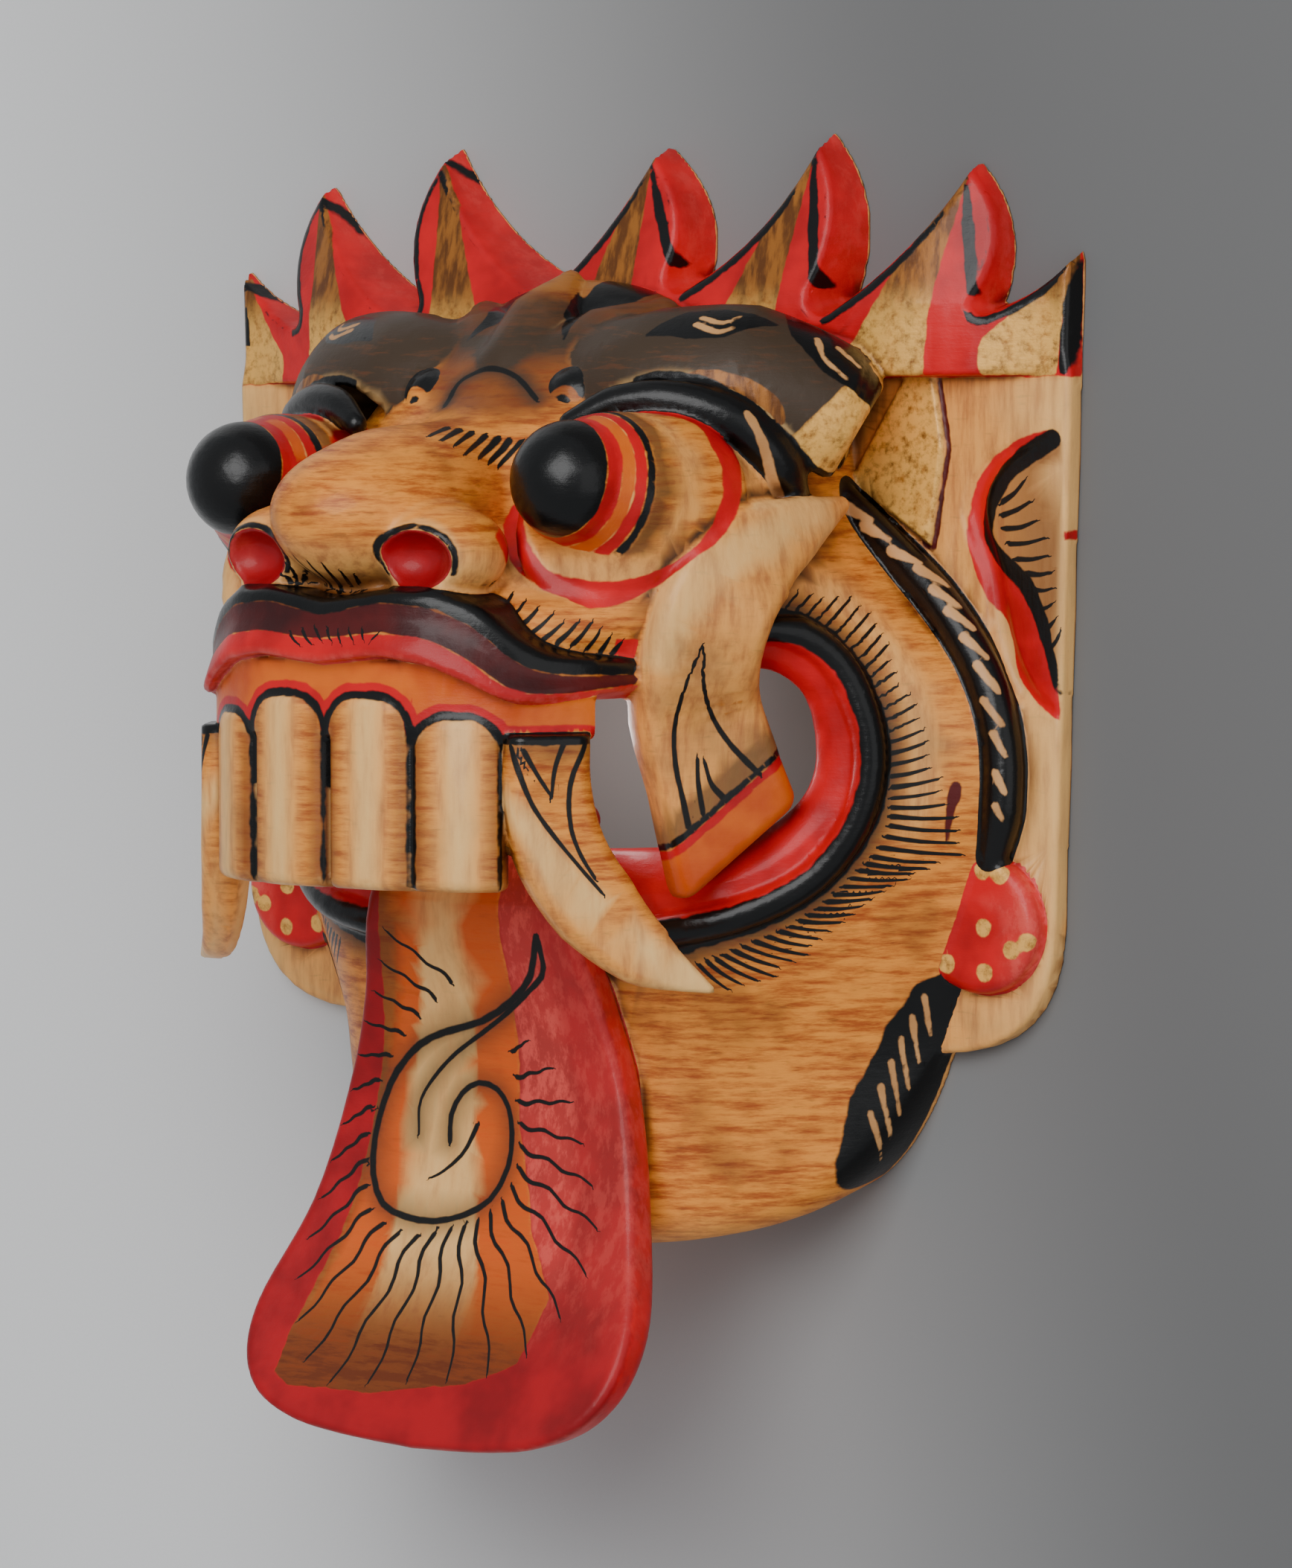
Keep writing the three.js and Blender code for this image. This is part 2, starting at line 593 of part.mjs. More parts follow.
// Fewer triangles for the same shape: edges fold up where the surface is flattest.
function thin(geometry, target) {
  const pos = Float64Array.from(geometry.attributes.position.array);
  const tri = Array.from(geometry.index.array);
  const count = pos.length / 3;
  const faces = Array.from({ length: count }, () => []);
  const quad = new Float64Array(count * 10);
  const stamp = new Int32Array(count);
  const cross = (a, b, c) => {
    const ux = b[0] - a[0];
    const uy = b[1] - a[1];
    const uz = b[2] - a[2];
    const vx = c[0] - a[0];
    const vy = c[1] - a[1];
    const vz = c[2] - a[2];
    return [uy * vz - uz * vy, uz * vx - ux * vz, ux * vy - uy * vx];
  };
  const point = (v) => [pos[3 * v], pos[3 * v + 1], pos[3 * v + 2]];
  for (let f = 0; f < tri.length; f += 3) {
    const p = point(tri[f]);
    const n = cross(p, point(tri[f + 1]), point(tri[f + 2]));
    const size = Math.hypot(...n) || 1e-12;
    const [a, b, c] = n.map((v) => v / size);
    const d = -(a * p[0] + b * p[1] + c * p[2]);
    const q = [a * a, a * b, a * c, a * d, b * b, b * c, b * d, c * c, c * d, d * d];
    for (let k = 0; k < 3; k += 1) {
      faces[tri[f + k]].push(f);
      for (let i = 0; i < 10; i += 1) quad[tri[f + k] * 10 + i] += q[i] * size;
    }
  }
  const sum = new Float64Array(10);
  const fold = (u, v) => {
    for (let i = 0; i < 10; i += 1) sum[i] = quad[u * 10 + i] + quad[v * 10 + i];
    const [a, b, c, d, e, f, g, h, i] = sum;
    const det = a * (e * h - f * f) - b * (b * h - f * c) + c * (b * f - e * c);
    let at = point(u).map((p, k) => (p + pos[3 * v + k]) / 2);
    if (Math.abs(det) > 1e-3 * Math.abs(a + e + h) ** 3 * 1e-3) {
      const best = [
        (-d * (e * h - f * f) + g * (b * h - c * f) - i * (b * f - c * e)) / det,
        (d * (b * h - c * f) - g * (a * h - c * c) + i * (a * f - b * c)) / det,
        (-d * (b * f - c * e) + g * (a * f - b * c) - i * (a * e - b * b)) / det,
      ];
      const reach = Math.hypot(...point(u).map((p, k) => p - pos[3 * v + k]));
      if (Math.hypot(...best.map((p, k) => p - at[k])) < 1.5 * reach) at = best;
    }
    const [x, y, z] = at;
    const bent = a * x * x + e * y * y + h * z * z + 2 * (b * x * y + c * x * z + f * y * z);
    const cost = bent + 2 * (d * x + g * y + i * z) + sum[9];
    return { cost: Math.max(cost, 0) + 1e-7, at, u, v, su: stamp[u], sv: stamp[v] };
  };
  const ringOf = (v) => {
    const near = new Set();
    for (const f of faces[v]) for (let k = 0; k < 3; k += 1) near.add(tri[f + k]);
    near.delete(v);
    return near;
  };
  const turns = (v, other, at) =>
    faces[v].some((f) => {
      const ids = [tri[f], tri[f + 1], tri[f + 2]];
      if (ids.includes(other)) return false;
      const before = cross(...ids.map(point));
      const after = cross(...ids.map((w) => (w === v ? at : point(w))));
      const dot = before[0] * after[0] + before[1] * after[1] + before[2] * after[2];
      return dot < 0.25 * Math.hypot(...before) * Math.hypot(...after) || Math.hypot(...after) < 1e-3;
    });
  const heap = new Heap();
  for (let u = 0; u < count; u += 1) for (const v of ringOf(u)) if (u < v) heap.push(fold(u, v));
  let left = tri.length / 3;
  while (left > target && heap.items.length) {
    const { at, u, v, su, sv } = heap.pop();
    if (stamp[u] !== su || stamp[v] !== sv) continue;
    const near = ringOf(v);
    if ([...ringOf(u)].filter((w) => near.has(w)).length !== 2) continue;
    if (turns(u, v, at) || turns(v, u, at)) continue;
    for (let k = 0; k < 3; k += 1) pos[3 * u + k] = at[k];
    for (let i = 0; i < 10; i += 1) quad[u * 10 + i] += quad[v * 10 + i];
    for (const f of faces[v]) {
      if ([tri[f], tri[f + 1], tri[f + 2]].includes(u)) {
        for (let k = 0; k < 3; k += 1) {
          const w = tri[f + k];
          if (w !== v) faces[w] = faces[w].filter((g) => g !== f);
        }
        left -= 1;
        tri[f] = -1;
      } else {
        for (let k = 0; k < 3; k += 1) if (tri[f + k] === v) tri[f + k] = u;
        faces[u].push(f);
      }
    }
    faces[v] = [];
    stamp[v] = -1;
    stamp[u] += 1;
    for (const w of ringOf(u)) heap.push(fold(u, w));
  }
  const kept = [];
  for (let f = 0; f < tri.length; f += 3) if (tri[f] >= 0) kept.push(tri[f], tri[f + 1], tri[f + 2]);
  const loose = new THREE.BufferGeometry();
  loose.setAttribute("position", new THREE.BufferAttribute(Float32Array.from(kept.flatMap(point)), 3));
  return mergeVertices(loose, 1e-5);
}

const wasm = await Module();
wasm.setup();
function solid(geometry) {
  const bare = geometry.clone();
  bare.deleteAttribute("normal");
  bare.deleteAttribute("uv");
  const merged = mergeVertices(bare, 1e-5);
  return new wasm.Manifold(
    new wasm.Mesh({
      numProp: 3,
      vertProperties: merged.attributes.position.array,
      triVerts: new Uint32Array(merged.index.array),
    }),
  );
}

const room = new THREE.Box3(new THREE.Vector3(-118, -140, -10), new THREE.Vector3(118, 146, 126));
const outer = solid(thin(surface(carving, room, CELLS), CARVED_TRIANGLES));
const inner = solid(thin(surface(hollow, room, HOLLOW_CELLS), HOLLOW_TRIANGLES));
const below = new THREE.BoxGeometry(300, 340, 40).translate(0, 0, -20);
const block = outer.subtract(inner).subtract(solid(below));

const mesh = block.getMesh();
const wood = new THREE.BufferGeometry();
const places = new Float32Array(mesh.numVert * 3);
for (let i = 0; i < mesh.numVert; i += 1) {
  places.set(mesh.vertProperties.subarray(i * mesh.numProp, i * mesh.numProp + 3), i * 3);
}
wood.setAttribute("position", new THREE.BufferAttribute(places, 3));
wood.setIndex(new THREE.BufferAttribute(mesh.triVerts, 1));
wood.computeBoundingBox();
const middle = wood.boundingBox.getCenter(new THREE.Vector3());
wood.translate(-middle.x, -middle.y, -wood.boundingBox.min.z);
wood.computeVertexNormals();

const paint = new THREE.MeshStandardMaterial({ color: 0xb98445, roughness: 0.45, metalness: 0 });
const mask = new THREE.Mesh(wood, paint);
mask.name = "mask";
const part = new THREE.Group();
part.name = "rangda_mask";
part.add(mask);
export default part;
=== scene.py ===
"""Looks of a carved and painted wooden demon mask, lying on its flat back.

The carving is a set of forms, each a signed distance in millimetres from the middle of the face:
+X to the viewer's right, +Y towards the crown, +Z out of the face. The forms are joined into one
surface, which is meshed, measured for its paint and dressed with one layered material.
"""
import logging
import math
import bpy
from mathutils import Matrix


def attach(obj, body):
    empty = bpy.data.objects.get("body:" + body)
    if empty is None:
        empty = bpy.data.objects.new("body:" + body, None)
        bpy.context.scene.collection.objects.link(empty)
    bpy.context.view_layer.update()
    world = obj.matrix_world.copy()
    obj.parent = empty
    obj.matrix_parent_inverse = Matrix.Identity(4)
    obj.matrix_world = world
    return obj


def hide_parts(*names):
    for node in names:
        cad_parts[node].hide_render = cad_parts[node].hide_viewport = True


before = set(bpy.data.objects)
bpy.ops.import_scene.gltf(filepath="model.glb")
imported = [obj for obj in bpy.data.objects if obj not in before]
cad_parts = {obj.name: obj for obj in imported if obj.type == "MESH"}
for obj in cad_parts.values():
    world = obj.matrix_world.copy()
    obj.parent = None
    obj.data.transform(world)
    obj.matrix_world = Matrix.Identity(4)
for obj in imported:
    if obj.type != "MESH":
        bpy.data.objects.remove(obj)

from concurrent.futures import ThreadPoolExecutor
from dataclasses import dataclass, field
from enum import Enum
from typing import Callable, Iterable, Sequence

import bpy
import numpy as np
import openvdb
from mathutils import Matrix, Vector

LOG = logging.getLogger("mask")
Array = np.ndarray
Numbers = Sequence[float]
Point = Numbers
Points = Sequence[Point]
Measure = Callable[[Array], Array]
Rgba = tuple[float, float, float, float]
Socket = bpy.types.NodeSocket
MM = 0.001
INK_LAYERS = 2


def hang(name: str, data: bpy.types.ID) -> bpy.types.Object:
    """Puts a new object with the given data in the scene.

    Args:
        name: Name of the object.
        data: Its mesh, lamp or camera.

    Returns:
        The object.
    """
    made = bpy.data.objects.new(name, data)
    bpy.context.scene.collection.objects.link(made)
    return made


def store(mesh: bpy.types.Mesh, name: str, values: Array) -> None:
    """Keeps one value a point on a mesh, under the given name."""
    layer = mesh.attributes.new(name, "FLOAT", "POINT")
    layer.data.foreach_set("value", values.astype(np.float32))


def join(a: Array, b: Array, k: float) -> Array:
    """Smooth union of two distances, over a blend k millimetres wide."""
    h = np.maximum(k - np.abs(a - b), 0.0) / k
    return np.minimum(a, b) - h * h * k * 0.25


def cut(a: Array, b: Array, k: float) -> Array:
    """Form a with form b taken away, over a blend k millimetres wide."""
    return -join(-a, b, k)


def meet(a: Array, b: Array, k: float) -> Array:
    """Smooth intersection of two distances, over a blend k millimetres wide."""
    return -join(-a, -b, k)


def corner(a: Array, b: Array, r: float | Array) -> Array:
    """Intersection of two half spaces with a rounded edge.

    Args:
        a: Distance past the first face.
        b: Distance past the second face.
        r: Radius of the edge.

    Returns:
        The distance to the rounded corner.
    """
    u = a + r
    v = b + r
    return np.hypot(np.maximum(u, 0), np.maximum(v, 0)) + np.minimum(np.maximum(u, v), 0) - r


def ramp(v: Array, low: float, high: float) -> Array:
    """Smooth step."""
    t = np.clip((v - low) / (high - low), 0.0, 1.0)
    return t * t * (3.0 - 2.0 * t)


def bell(v: Array, wide: float) -> Array:
    """Bell curve, 1 where v is 0 and falling over the given width."""
    return np.exp(-(v / wide) ** 2)


def profile(stations: Numbers, values: Numbers, ease: float) -> Measure:
    """Value along a row of stations, its kinks eased.

    Args:
        stations: Rising positions.
        values: Value at each position.
        ease: Reach of the easing in millimetres.

    Returns:
        A function of the position.
    """
    s = np.arange(stations[0], stations[-1] + 0.5, 0.5)
    shifts = np.linspace(-ease, ease, 9)
    table = np.mean([np.interp(s + d, stations, values) for d in shifts], axis=0)
    return lambda v: np.interp(v, s, table)


def curve_points(points: Points, steps: int) -> Array:
    """Points on a centripetal Catmull-Rom curve.

    Args:
        points: Control points.
        steps: Number of straight steps.

    Returns:
        An array of steps + 1 points.
    """
    p = np.asarray(points, float)
    ends = np.vstack([2 * p[0] - p[1], p, 2 * p[-1] - p[-2]])
    out = []
    for f in np.linspace(0, len(p) - 1, steps + 1):
        i = min(int(f), len(p) - 2)
        t = f - i
        a, b, c, d = ends[i:i + 4]
        d0, d1, d2 = (max(np.linalg.norm(v), 1e-6) ** 0.5 for v in (b - a, c - b, d - c))
        m1 = ((b - a) / d0 - (c - a) / (d0 + d1) + (c - b) / d1) * d1
        m2 = ((c - b) / d1 - (d - b) / (d1 + d2) + (d - c) / d2) * d1
        c2 = -3 * b + 3 * c - 2 * m1 - m2
        c3 = 2 * b - 2 * c + m1 + m2
        out.append(b + m1 * t + c2 * t * t + c3 * t ** 3)
    return np.asarray(out)


def spaced_pairs(first: Points, second: Points, count: int) -> tuple[Array, Array]:
    """Matching places on two curves, evenly spaced.

    Args:
        first: Control points of the first curve.
        second: As many control points of the second curve.
        count: Number of places.

    Returns:
        Places on the first curve and on the second.
    """
    a, b = curve_points(first, 120), curve_points(second, 120)
    steps = np.linalg.norm(np.diff(a, axis=0), axis=1) + np.linalg.norm(np.diff(b, axis=0), axis=1)
    run = np.concatenate([[0], np.cumsum(steps)])
    want = np.linspace(0, run[-1], count)
    return tuple(np.column_stack([np.interp(want, run, c) for c in q.T]) for q in (a, b))


def bezier(start: Point, handle: Point, end: Point, steps: int = 8) -> Array:
    """Points on a quadratic curve, without its first point.

    Args:
        start: First point.
        handle: Handle.
        end: Last point.
        steps: Number of points returned.

    Returns:
        An array of points.
    """
    t = np.linspace(0, 1, steps + 1)[1:, None]
    a, b, c = (np.asarray(v, float) for v in (start, handle, end))
    return (1 - t) ** 2 * a + 2 * t * (1 - t) * b + t * t * c


def outline_distance(polygon: Array, u: Array, v: Array) -> Array:
    """Signed distance in a plane to a closed outline.

    Args:
        polygon: Corners of the outline.
        u: First coordinate of the places.
        v: Second coordinate of the places.

    Returns:
        Distances, negative inside.
    """
    best = np.full(u.shape, np.inf)
    inside = np.zeros(u.shape, bool)
    for a, b in zip(polygon, np.roll(polygon, 1, axis=0)):
        e = b - a
        size = max(float(e @ e), 1e-9)
        wu, wv = u - a[0], v - a[1]
        t = np.clip((wu * e[0] + wv * e[1]) / size, 0, 1)
        best = np.minimum(best, (wu - e[0] * t) ** 2 + (wv - e[1] * t) ** 2)
        if a[1] != b[1]:
            crosses = (a[1] > v) != (b[1] > v)
            inside ^= crosses & (u < e[0] * (v - a[1]) / e[1] + a[0])
    return np.where(inside, -np.sqrt(best), np.sqrt(best))


@dataclass
class Path:
    """A bent centre line."""

    points: Points
    steps: int = 20
    dots: Array = field(init=False)

    def __post_init__(self) -> None:
        """Works out the points of the line."""
        self.dots = curve_points(self.points, self.steps)

    def nearest(self, p: Array) -> tuple[Array, Array, Array]:
        """Nearest place on the line.

        Args:
            p: Places, one row each.

        Returns:
            Distance, share of the way along from 0 to 1, and the offset vector.
        """
        best = np.full(len(p), np.inf)
        at = np.zeros(len(p))
        off = np.zeros_like(p)
        for i, (a, b) in enumerate(zip(self.dots[:-1], self.dots[1:])):
            e = b - a
            w = p - a
            t = np.clip(w @ e / max(float(e @ e), 1e-9), 0, 1)
            q = w - t[:, None] * e
            d = np.einsum("ij,ij->i", q, q)
            hit = d < best
            best[hit] = d[hit]
            at[hit] = (i + t[hit]) / self.steps
            off[hit] = q[hit]
        return np.sqrt(best), at, off

    def tangent(self, at: Array) -> Array:
        """Direction of the line.

        Args:
            at: Shares of the way along.

        Returns:
            One direction a row, of unit length.
        """
        i = np.clip((at * self.steps).astype(int), 0, self.steps - 1)
        e = np.diff(self.dots, axis=0)
        e /= np.linalg.norm(e, axis=1)[:, None]
        return e[i]


def along(values: Numbers, at: Array) -> Array:
    """Value at each share of a way, between values listed evenly along it."""
    return np.interp(at, np.linspace(0, 1, len(values)), values)


class Form:
    """One carved form, known by its distance, with a box round it that lets far places be skipped."""

    low: Array
    high: Array

    def distance(self, p: Array) -> Array:
        """Distance to the form."""
        raise NotImplementedError

    def bound(self, points: Iterable[Point], reach: float) -> None:
        """Sets the box round the form.

        Args:
            points: Points of the form.
            reach: How far the form goes beyond them.
        """
        q = np.asarray(list(points), float)
        self.low = q.min(axis=0) - reach
        self.high = q.max(axis=0) + reach

    def near(self, p: Array, margin: float = 9.0) -> Array:
        """Distance, measured only near the form.

        Args:
            p: Places, one row each.
            margin: Beyond this far from its box only the box is measured.

        Returns:
            Distances, never too large.
        """
        gap = np.maximum(np.maximum(self.low - p, p - self.high), 0.0)
        out = np.sqrt(np.einsum("ij,ij->i", gap, gap))
        close = out < margin
        if close.any():
            out[close] = self.distance(p[close])
        return out


@dataclass
class Ellipsoid(Form):
    """An ellipsoid."""

    centre: Point
    radii: Point

    def __post_init__(self) -> None:
        """Works out what follows from the sizes."""
        self.bound([self.centre], max(self.radii))

    def distance(self, p: Array) -> Array:
        """Distance to the form.

        Args:
            p: Places, one row each.

        Returns:
            Distances, negative inside.
        """
        u = (p - np.asarray(self.centre)) / np.asarray(self.radii)
        k = np.linalg.norm(u, axis=1)
        g = np.linalg.norm(u / np.asarray(self.radii), axis=1)
        return np.where(g > 1e-9, k * (k - 1) / np.maximum(g, 1e-9), -min(self.radii))


@dataclass
class Lens(Form):
    """An ellipsoid with two given half axes and a thickness square to both."""

    centre: Point
    long: Point
    tall: Point
    thick: float

    def __post_init__(self) -> None:
        """Works out what follows from the sizes."""
        u, v = np.asarray(self.long, float), np.asarray(self.tall, float)
        w = np.cross(u, v)
        self.inward = np.linalg.inv(np.column_stack([u, v, w * self.thick / np.linalg.norm(w)]))
        self.bound([self.centre], max(np.linalg.norm(u), np.linalg.norm(v)) + self.thick)

    def distance(self, p: Array) -> Array:
        """Distance to the form.

        Args:
            p: Places, one row each.

        Returns:
            Distances, negative inside.
        """
        q = (p - np.asarray(self.centre)) @ self.inward.T
        k = np.linalg.norm(q, axis=1)
        g = np.maximum(np.linalg.norm(q @ self.inward, axis=1), 1e-9)
        return np.maximum(k * (k - 1) / g, -self.thick)


@dataclass
class Rod(Form):
    """A round rod along a bent line, its radius listed along the way."""

    points: Points
    radii: Numbers
    steps: int = 18
    path: Path = field(init=False)

    def __post_init__(self) -> None:
        """Works out what follows from the sizes."""
        self.path = Path(self.points, self.steps)
        self.bound(self.path.dots, max(self.radii))

    def distance(self, p: Array) -> Array:
        """Distance to the form, negative inside."""
        far, at, _ = self.path.nearest(p)
        return far - along(self.radii, at)


@dataclass
class Horn(Form):
    """A flat-faced horn along a bent line: half widths, half thicknesses and the way it faces."""

    points: Points
    widths: Numbers
    thicks: Numbers
    facing: Point
    steps: int = 22
    rounding: float = 0.7
    path: Path = field(init=False)

    def __post_init__(self) -> None:
        """Works out what follows from the sizes."""
        self.path = Path(self.points, self.steps)
        self.bound(self.path.dots, max(self.widths) + 1)
        self.facing = np.asarray(self.facing) / np.linalg.norm(self.facing)

    def chart(self, p: Array) -> tuple[Array, Array, Array]:
        """Place on the horn.

        Args:
            p: Places, one row each.

        Returns:
            Share of the way along, signed offset across and offset out.
        """
        far, at, off = self.path.nearest(p)
        out = off @ self.facing
        sideways = np.cross(self.path.tangent(at), self.facing)
        across = np.einsum("ij,ij->i", off, sideways)
        flat = np.sqrt(np.maximum(far * far - out * out, 0))
        return at, np.where(across < 0, -flat, flat), out

    def distance(self, p: Array) -> Array:
        """Distance to the form.

        Args:
            p: Places, one row each.

        Returns:
            Distances, negative inside.
        """
        at, across, out = self.chart(p)
        w = along(self.widths, at)
        h = along(self.thicks, at)
        return corner(np.abs(across) - w, np.abs(out) - h, np.minimum(w, h) * self.rounding)


class Colour(Enum):
    """Paints on the wood, in the order they go on."""

    ORANGE = "orange"
    MAROON = "maroon"
    RED = "red"
    DEEP = "deep"
    GOLD = "gold"
    BLACK = "black"
    PALE = "pale"
    RAW = "raw"


class Wash(Enum):
    """Soft tints in the varnish."""

    CREAM = "cream"
    BROWN = "brown"
    GREY = "grey"
    AMBER = "amber"
    PINK = "pink"
    LEAF = "leaf"


@dataclass
class Coat:
    """What is painted where: a distance for each paint, negative where it lies, soft washes and strokes."""

    places: Array
    normals: Array
    reach: float = 3.5
    deepest: float = 7.0
    away: float = 9.0
    soft: float = 0.6
    fine_paint: float = 1.1
    fine_ink: float = 1.9
    seed: int = 7

    def __post_init__(self) -> None:
        """Starts with bare wood, both halves folded onto one."""
        n = len(self.places)
        flip = np.ones((n, 3))
        flip[:, 0] = np.where(self.places[:, 0] < 0, -1.0, 1.0)
        self.half = self.places * flip
        self.facing = self.normals * flip
        self.paints = {c: np.full(n, self.away) for c in Colour}
        self.washes = {w: np.zeros(n) for w in Wash}
        self.side = np.full((INK_LAYERS, n), self.away)
        self.far = np.full((INK_LAYERS, n), self.away)
        self.dice = np.random.default_rng(self.seed)

    def lay(self, colour: Colour, *limits: Array) -> None:
        """Lays paint where every limit is negative."""
        self.paints[colour] = np.minimum(self.paints[colour], np.maximum.reduce(limits))

    def spare(self, colour: Colour, *limits: Array) -> None:
        """Takes paint away where every limit is negative."""
        self.paints[colour] = np.maximum(self.paints[colour], -np.maximum.reduce(limits))

    def tint(self, wash: Wash, amount: float | Array, *limits: Array) -> None:
        """Adds a wash where every limit is negative.

        Args:
            wash: Tint.
            amount: Strength from 0 to 1.
            limits: Distances, one value a place.
        """
        for other in limits:
            amount = amount * (1 - ramp(other, -self.soft, self.soft))
        self.washes[wash] = np.maximum(self.washes[wash], amount)

    def trace(self, points: Points, steps: int, both: bool) -> tuple[Array, Array, Array, Array]:
        """Measures the surface round a line drawn on it.

        Args:
            points: Points on or near the surface.
            steps: Straight steps in the line.
            both: Drawn on both halves of the face.

        Returns:
            Rows of the places near the line, their distance along the surface, the same distance with a
            sign for the side, and the share of the way along.
        """
        p, n = (self.half, self.facing) if both else (self.places, self.normals)
        dots = curve_points(points, steps)
        box = (p > dots.min(axis=0) - self.reach) & (p < dots.max(axis=0) + self.reach)
        near = np.nonzero(box.all(axis=1))[0]
        q, m = p[near], n[near]
        best = np.full(len(near), np.inf)
        side = np.zeros(len(near))
        at = np.zeros(len(near))
        for i, (a, b) in enumerate(zip(dots[:-1], dots[1:])):
            size = max(float(np.linalg.norm(b - a)), 1e-6)
            e = (b - a) / size
            t = np.clip((q - a) @ e, 0, size)
            off = q - a - t[:, None] * e
            lift = np.einsum("ij,ij->i", off, m)
            off = off - lift[:, None] * m
            d = np.linalg.norm(off, axis=1) + np.maximum(np.abs(lift) - self.deepest, 0)
            hit = d < best
            best[hit] = d[hit]
            sign = np.einsum("ij,ij->i", off, np.cross(e, m))
            side[hit] = np.where(sign < 0, -d, d)[hit]
            at[hit] = (i + t[hit] / size) / steps
        return near, best, side, at

    def stroke(
            self, points: Points, width: float, tip: float = 0.4, steps: int = 8, both: bool = True,
            layer: int = 0) -> None:
        """Draws a thin line of ink.

        Args:
            points: Points on or near the surface.
            width: Half width at the start in millimetres.
            tip: Half width at the end as a share of the width.
            steps: Straight steps in the line.
            both: Drawn on both halves of the face.
            layer: Layer it is kept in, so that lines close together do not run into each other.
        """
        near, best, side, at = self.trace(points, steps, both)
        closer = best < self.far[layer, near]
        rows = near[closer]
        self.far[layer, rows] = best[closer]
        self.side[layer, rows] = (side / (width * (1 + (tip - 1) * at)))[closer]

    def dash(self, points: Points, width: float, tip: float = 0.4, steps: int = 6) -> None:
        """Paints a broad pale line on both halves of the face.

        Args:
            points: Points on or near the surface.
            width: Half width at the start in millimetres.
            tip: Half width at the end as a share of the width.
            steps: Straight steps in the line.
        """
        near, best, _, at = self.trace(points, steps, True)
        pale = self.paints[Colour.PALE]
        pale[near] = np.minimum(pale[near], best - width * (1 + (tip - 1) * at))

    def fan(
            self, roots: Points, tips: Points, count: int, width: float, bend: float = 0.06,
            both: bool = True) -> None:
        """Draws a row of ink strokes from one line to another.

        Args:
            roots: Points of the line the strokes start from.
            tips: Points of the line they run to.
            count: Number of strokes.
            width: Half width at the root.
            bend: How far each stroke bows, as a share of its length.
            both: Drawn on both halves of the face.
        """
        for i, (a, b) in enumerate(zip(*spaced_pairs(roots, tips, count))):
            end = a + (b - a) * self.dice.uniform(0.85, 1.1)
            sway = np.cross(end - a, (0.3, 0, 0.95)) * bend * self.dice.uniform(0.6, 1.4)
            wide = width * self.dice.uniform(0.85, 1.15)
            middle = (a + end) / 2 + sway
            self.stroke((a, middle, end), wide, tip=0.5, steps=4, both=both, layer=i % INK_LAYERS)

    def store(self, mesh: bpy.types.Mesh) -> None:
        """Writes all values to the points of a mesh.

        Args:
            mesh: Mesh with the same points.
        """
        rows = {c.value: v for c, v in self.paints.items()} | {w.value: v for w, v in self.washes.items()}
        for i in range(INK_LAYERS):
            rows |= {f"ink_side_{i}": self.side[i], f"ink_far_{i}": self.far[i]}
        for name, values in rows.items():
            store(mesh, name, np.clip(values, -self.away, self.away))

    def keen(self) -> Array:
        """Where the mesh has to stay fine for the paint's edges.

        Returns:
            True at each such place.
        """
        fine = np.zeros(len(self.places), bool)
        for d in self.paints.values():
            fine |= np.abs(d) < self.fine_paint
        return fine | (self.far.min(axis=0) < self.fine_ink)


def shape_outline(start: Point, turns: Sequence[tuple[Point, Point]]) -> Array:
    """Closed outline of quadratic turns.

    Args:
        start: First corner.
        turns: Handle and end of each turn.

    Returns:
        Corners of the outline.
    """
    rows = [np.asarray([start], float)]
    for handle, end in turns:
        rows.append(bezier(rows[-1][-1], handle, end))
    return np.vstack(rows)


@dataclass
class Fin:
    """One flame of the crown: its outer valley, handles, tip and inner valley."""

    outer_valley: Point
    outer: Point
    tip: Point
    inner: Point
    valley: Point


